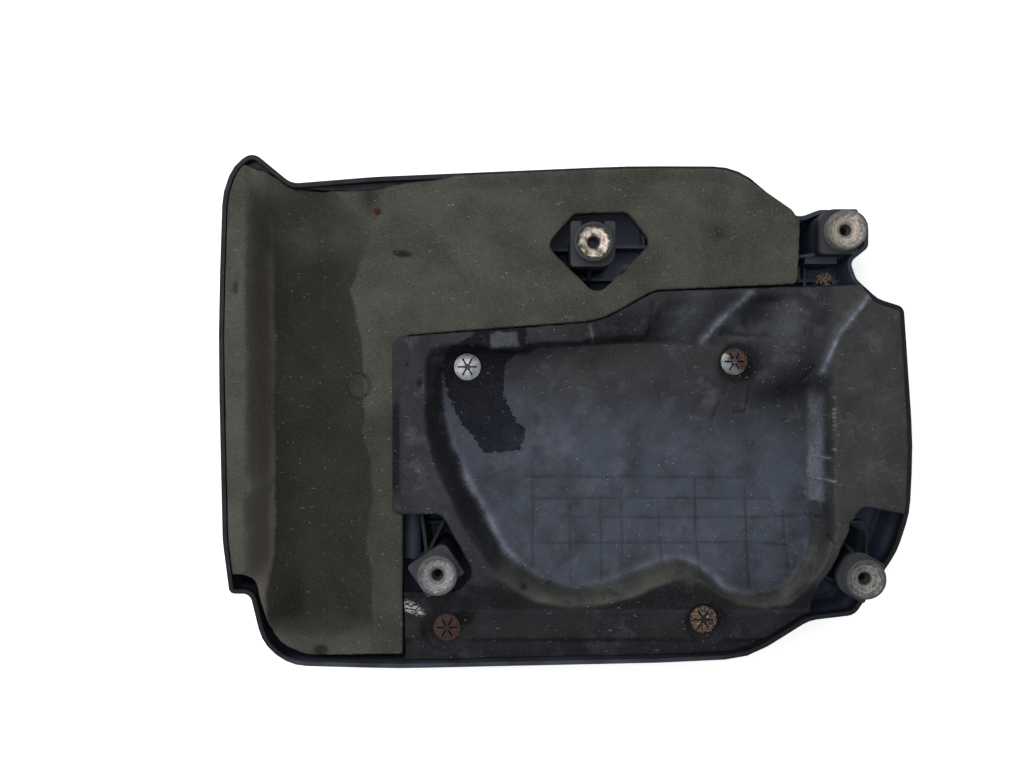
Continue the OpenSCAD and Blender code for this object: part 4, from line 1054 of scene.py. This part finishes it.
class COVER_OT_moulded_pad(bpy.types.Operator):
    """Fine mesh and finish of the moulded pad"""
    bl_idname = "cover.moulded_pad"
    bl_label = "Moulded pad"

    def execute(self, context):
        p = context.scene.cover
        step, edge, rag = p.pad_spacing * 1000, p.cut_edge * 1000, p.rag * 1000
        loops = [outline(RIM, WALL + 0.4), ragged(outline(PAD_EDGE), step, rag, 82),
                 ragged(outline(NOTCH), step, rag, 83)]
        depth = sheet_depth(loops)
        lines = [(line, (-0.7, 0.0, 0.7)) for line in GRID]
        lines += [(line, (-0.8 * w, 0.0, 0.8 * w)) for line, _, w in CUTS]
        lines += [(line, (-0.8 * w, 0.0, 0.8 * w)) for line, _, w, _ in CREASES]
        xy, tri = triangulate(loops, depth, step, lines)
        z = pad_top(xy)
        for place, seat, sunk in PAD_NUTS:
            z = pocket(z, xy, place, seat, sunk)
        under = np.minimum(z, pad_plain(xy)) - FLANGE_T
        obj = sheet_mesh("moulded_pad_fine", xy, tri, z - rounded(depth(xy), edge), under, pad_masks(xy))
        finish_piece(obj, skinned_foam(), ["moulded_pad"])
        return {"FINISHED"}


class COVER_OT_cover_body(bpy.types.Operator):
    """Finish of the moulded body"""
    bl_idname = "cover.body"
    bl_label = "Moulded body"

    def execute(self, context):
        paint("cover_body", black_plastic())
        return {"FINISHED"}


class COVER_OT_grommets(bpy.types.Operator):
    """Finish of the four rubber sockets, each with its own wear"""
    bl_idname = "cover.grommets"
    bl_label = "Rubber sockets"

    def execute(self, context):
        looks = [
            ("back_left", "crusted mouth", TOWER_BL, "#26282c", "#4a463f", "#ded3c4", 1.0, 3),
            ("back_right", "caked with dust", TOWER_BR, "#62605b", "#e6e4de", "#b7a594", 0.6, 8),
            ("front_left", "ringed with wear", TOWER_FL, "#4b4d50", "#b9babb", "#8b8986", 0.3, 15),
            ("front_right", "scratched", TOWER_FR, "#3b3c3d", "#a9a9a6", "#83817d", 0.4, 22)]
        for corner, wear, centre, base, mouth, crust, shine, seed in looks:
            rubbed = rubber("Rubber socket, " + wear, centre, base, mouth, crust, shine, seed)
            paint("grommet_" + corner, rubbed)
        return {"FINISHED"}


class COVER_OT_push_nuts(bpy.types.Operator):
    """Finish of the push nuts, from clean zinc to rust"""
    bl_idname = "cover.push_nuts"
    bl_label = "Push nuts"

    def execute(self, context):
        looks = [("pad_nut_back_left", 0.05, "#5a4636", 1), ("pad_nut_back_right", 0.42, "#5a4130", 2),
                 ("pad_nut_front_left", 1.0, "#44302b", 3), ("pad_nut_front_right", 0.85, "#8c7a68", 4),
                 ("mat_nut_back_left", 1.0, "#6e3024", 5), ("mat_nut_back_right", 1.0, "#2e2a26", 6),
                 ("mat_nut_front_left", 0.9, "#5a3222", 7)]
        for node, rusty, bloom, seed in looks:
            centre, lean = ((111.4, 32.5), 0.045) if node == "pad_nut_back_right" else ((0, 0), 0.0)
            paint(node, zinc("Spring steel, zinc plated " + node, rusty, bloom, seed, centre, lean))
        return {"FINISHED"}


class COVER_OT_ledge(bpy.types.Operator):
    """Ledge of the body that shows between the rim and the back edge of the mat"""
    bl_idname = "cover.ledge"
    bl_label = "Ledge in the horn"

    def execute(self, context):
        rim = wall_line(lambda at: np.full(len(at), WALL - 0.4))
        start = np.argmin(np.hypot(rim[:, 0] + 60, rim[:, 1] - 150))
        rim = np.roll(rim, -start, 0)
        rim = rim[:np.argmax((rim[:, 0] < -200) & (rim[:, 1] < 146))]
        edge = np.array([c[:2] for c in MAT_EDGE if c[1] > 140 and -215 < c[0] < -60], float)[::-1]
        ring = np.vstack([rim, stepped(edge, 2.0, closed=False) + (0, 0.3)]) + SHIFT
        n = len(ring)
        mesh = bpy.data.meshes.new("horn_ledge")
        mesh.from_pydata([(x * 0.001, y * 0.001, z) for z in (0.0545, 0.053) for x, y in ring], [],
                         [tuple(range(n)), tuple(range(2 * n - 1, n - 1, -1))]
                         + [(i, i + n, (i + 1) % n + n, (i + 1) % n) for i in range(n)])
        obj = bpy.data.objects.new("horn_ledge", mesh)
        context.scene.collection.objects.link(obj)
        finish_piece(obj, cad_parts["cover_body"].material_slots[0].material)
        return {"FINISHED"}


class COVER_OT_dirt(bpy.types.Operator):
    """Crumbs of dirt and torn foam that lie about"""
    bl_idname = "cover.dirt"
    bl_label = "Dirt crumbs"

    def execute(self, context):
        rng = np.random.default_rng(12)
        heaps = [("dirt_clump", (171.8, 87.5), (6.4, 4.2), 44.0, 110, (0.5, 1.35), "#84694f"),
                 ("torn_foam", (39.5, 94.4), (3.4, 2.2), 56.0, 22, (0.5, 1.2), "#5d5244"),
                 ("nut_debris", (116.4, 35.8), (6.0, 4.5), 41.6, 34, (0.3, 0.9), "#2b2019")]
        for name, centre, spread, z, count, sizes, colour in heaps:
            lumps = []
            for _ in range(count):
                off = rng.normal(0, 0.5, 2) * spread
                size = rng.uniform(*sizes)
                lumps.append(blob(name, (centre[0] + off[0], centre[1] + off[1]), size, z + 0.3 * size,
                                  int(rng.integers(1e6))))
            finish_piece(joined(name, lumps), dirt(name, colour))
        return {"FINISHED"}


class COVER_OT_stage(bpy.types.Operator):
    """Pale floor, studio light and camera"""
    bl_idname = "cover.stage"
    bl_label = "Stage"

    def execute(self, context):
        scene = context.scene
        p = scene.cover
        floor_mesh = bpy.data.meshes.new("studio_floor")
        corners = [(x, y, -0.0005) for x, y in ((-3, -3), (3, -3), (3, 3), (-3, 3))]
        floor_mesh.from_pydata(corners, [], [(0, 1, 2, 3)])
        floor = bpy.data.objects.new("studio_floor", floor_mesh)
        scene.collection.objects.link(floor)
        mat, tree, out = material("Painted board, matt white")
        diffuse = add(tree, "ShaderNodeBsdfDiffuse", {"Color": (0.9, 0.9, 0.9, 1.0)})
        glow = add(tree, "ShaderNodeEmission", {"Color": (1, 1, 1, 1), "Strength": 0.5})
        light = add(tree, "ShaderNodeLightPath")
        shown = add(tree, "ShaderNodeAddShader", {0: diffuse.outputs[0], 1: glow.outputs[0]})
        pick = add(tree, "ShaderNodeMixShader", {0: light.outputs["Is Camera Ray"], 1: diffuse.outputs[0],
                                                 2: shown.outputs[0]})
        tree.links.new(pick.outputs[0], out.inputs["Surface"])
        floor_mesh.materials.append(mat)
        world = bpy.data.worlds.new("studio")
        world.use_nodes = True
        world.node_tree.nodes["Background"].inputs["Color"].default_value = (1, 1, 1, 1)
        world.node_tree.nodes["Background"].inputs["Strength"].default_value = p.sky
        scene.world = world
        for name, place, size, power, aim in (
                ("softbox_top", (-0.5, 0.5, 1.5), 1.6, p.light_power, (0, 0, 0)),
                ("softbox_side", (-1.2, 0.3, 0.9), 1.0, p.light_power * 0.3, (0, 0, 0))):
            data = bpy.data.lights.new(name, "AREA")
            data.shape = "SQUARE"
            data.size = size
            data.energy = power
            lamp = bpy.data.objects.new(name, data)
            lamp.location = place
            lamp.rotation_euler = (Vector(aim) - Vector(place)).to_track_quat("-Z", "Y").to_euler()
            scene.collection.objects.link(lamp)
        data = bpy.data.cameras.new("camera")
        data.sensor_width = SENSOR_W
        data.lens = SENSOR_W * FOCAL_PX / PICTURE_W
        data.clip_end = 20.0
        camera = bpy.data.objects.new("camera", data)
        camera.location = [v * 0.001 for v in (*(CAMERA_AT[:2] + SHIFT), CAMERA_AT[2])]
        camera.rotation_euler = (0, 0, 0)
        scene.collection.objects.link(camera)
        scene.camera = camera
        scene.view_settings.view_transform = "Standard"
        return {"FINISHED"}


class COVER_PT_panel(bpy.types.Panel):
    """Buttons for each piece of the cover"""
    bl_label = "Engine cover"
    bl_idname = "COVER_PT_panel"
    bl_space_type = "VIEW_3D"
    bl_region_type = "UI"
    bl_category = "Engine cover"

    def draw(self, context):
        for name in CoverProperties.__annotations__:
            self.layout.prop(context.scene.cover, name)
        for op in OPERATORS:
            self.layout.operator(op.bl_idname)


OPERATORS = (COVER_OT_stage, COVER_OT_foam_mat, COVER_OT_moulded_pad, COVER_OT_cover_body, COVER_OT_grommets,
             COVER_OT_push_nuts, COVER_OT_ledge, COVER_OT_dirt)
CLASSES = (CoverProperties, *OPERATORS, COVER_PT_panel)


def register():
    """Make the classes and the properties known."""
    for c in CLASSES:
        bpy.utils.register_class(c)
    bpy.types.Scene.cover = bpy.props.PointerProperty(type=CoverProperties)


def unregister():
    """Take the classes and the properties away again."""
    del bpy.types.Scene.cover
    for c in reversed(CLASSES):
        bpy.utils.unregister_class(c)


def main():
    """Build every piece."""
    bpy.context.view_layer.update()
    register()
    bpy.ops.cover.stage()
    bpy.ops.cover.foam_mat()
    bpy.ops.cover.moulded_pad()
    bpy.ops.cover.body()
    bpy.ops.cover.grommets()
    bpy.ops.cover.push_nuts()
    bpy.ops.cover.ledge()
    bpy.ops.cover.dirt()


if __name__ == "__main__":
    main()
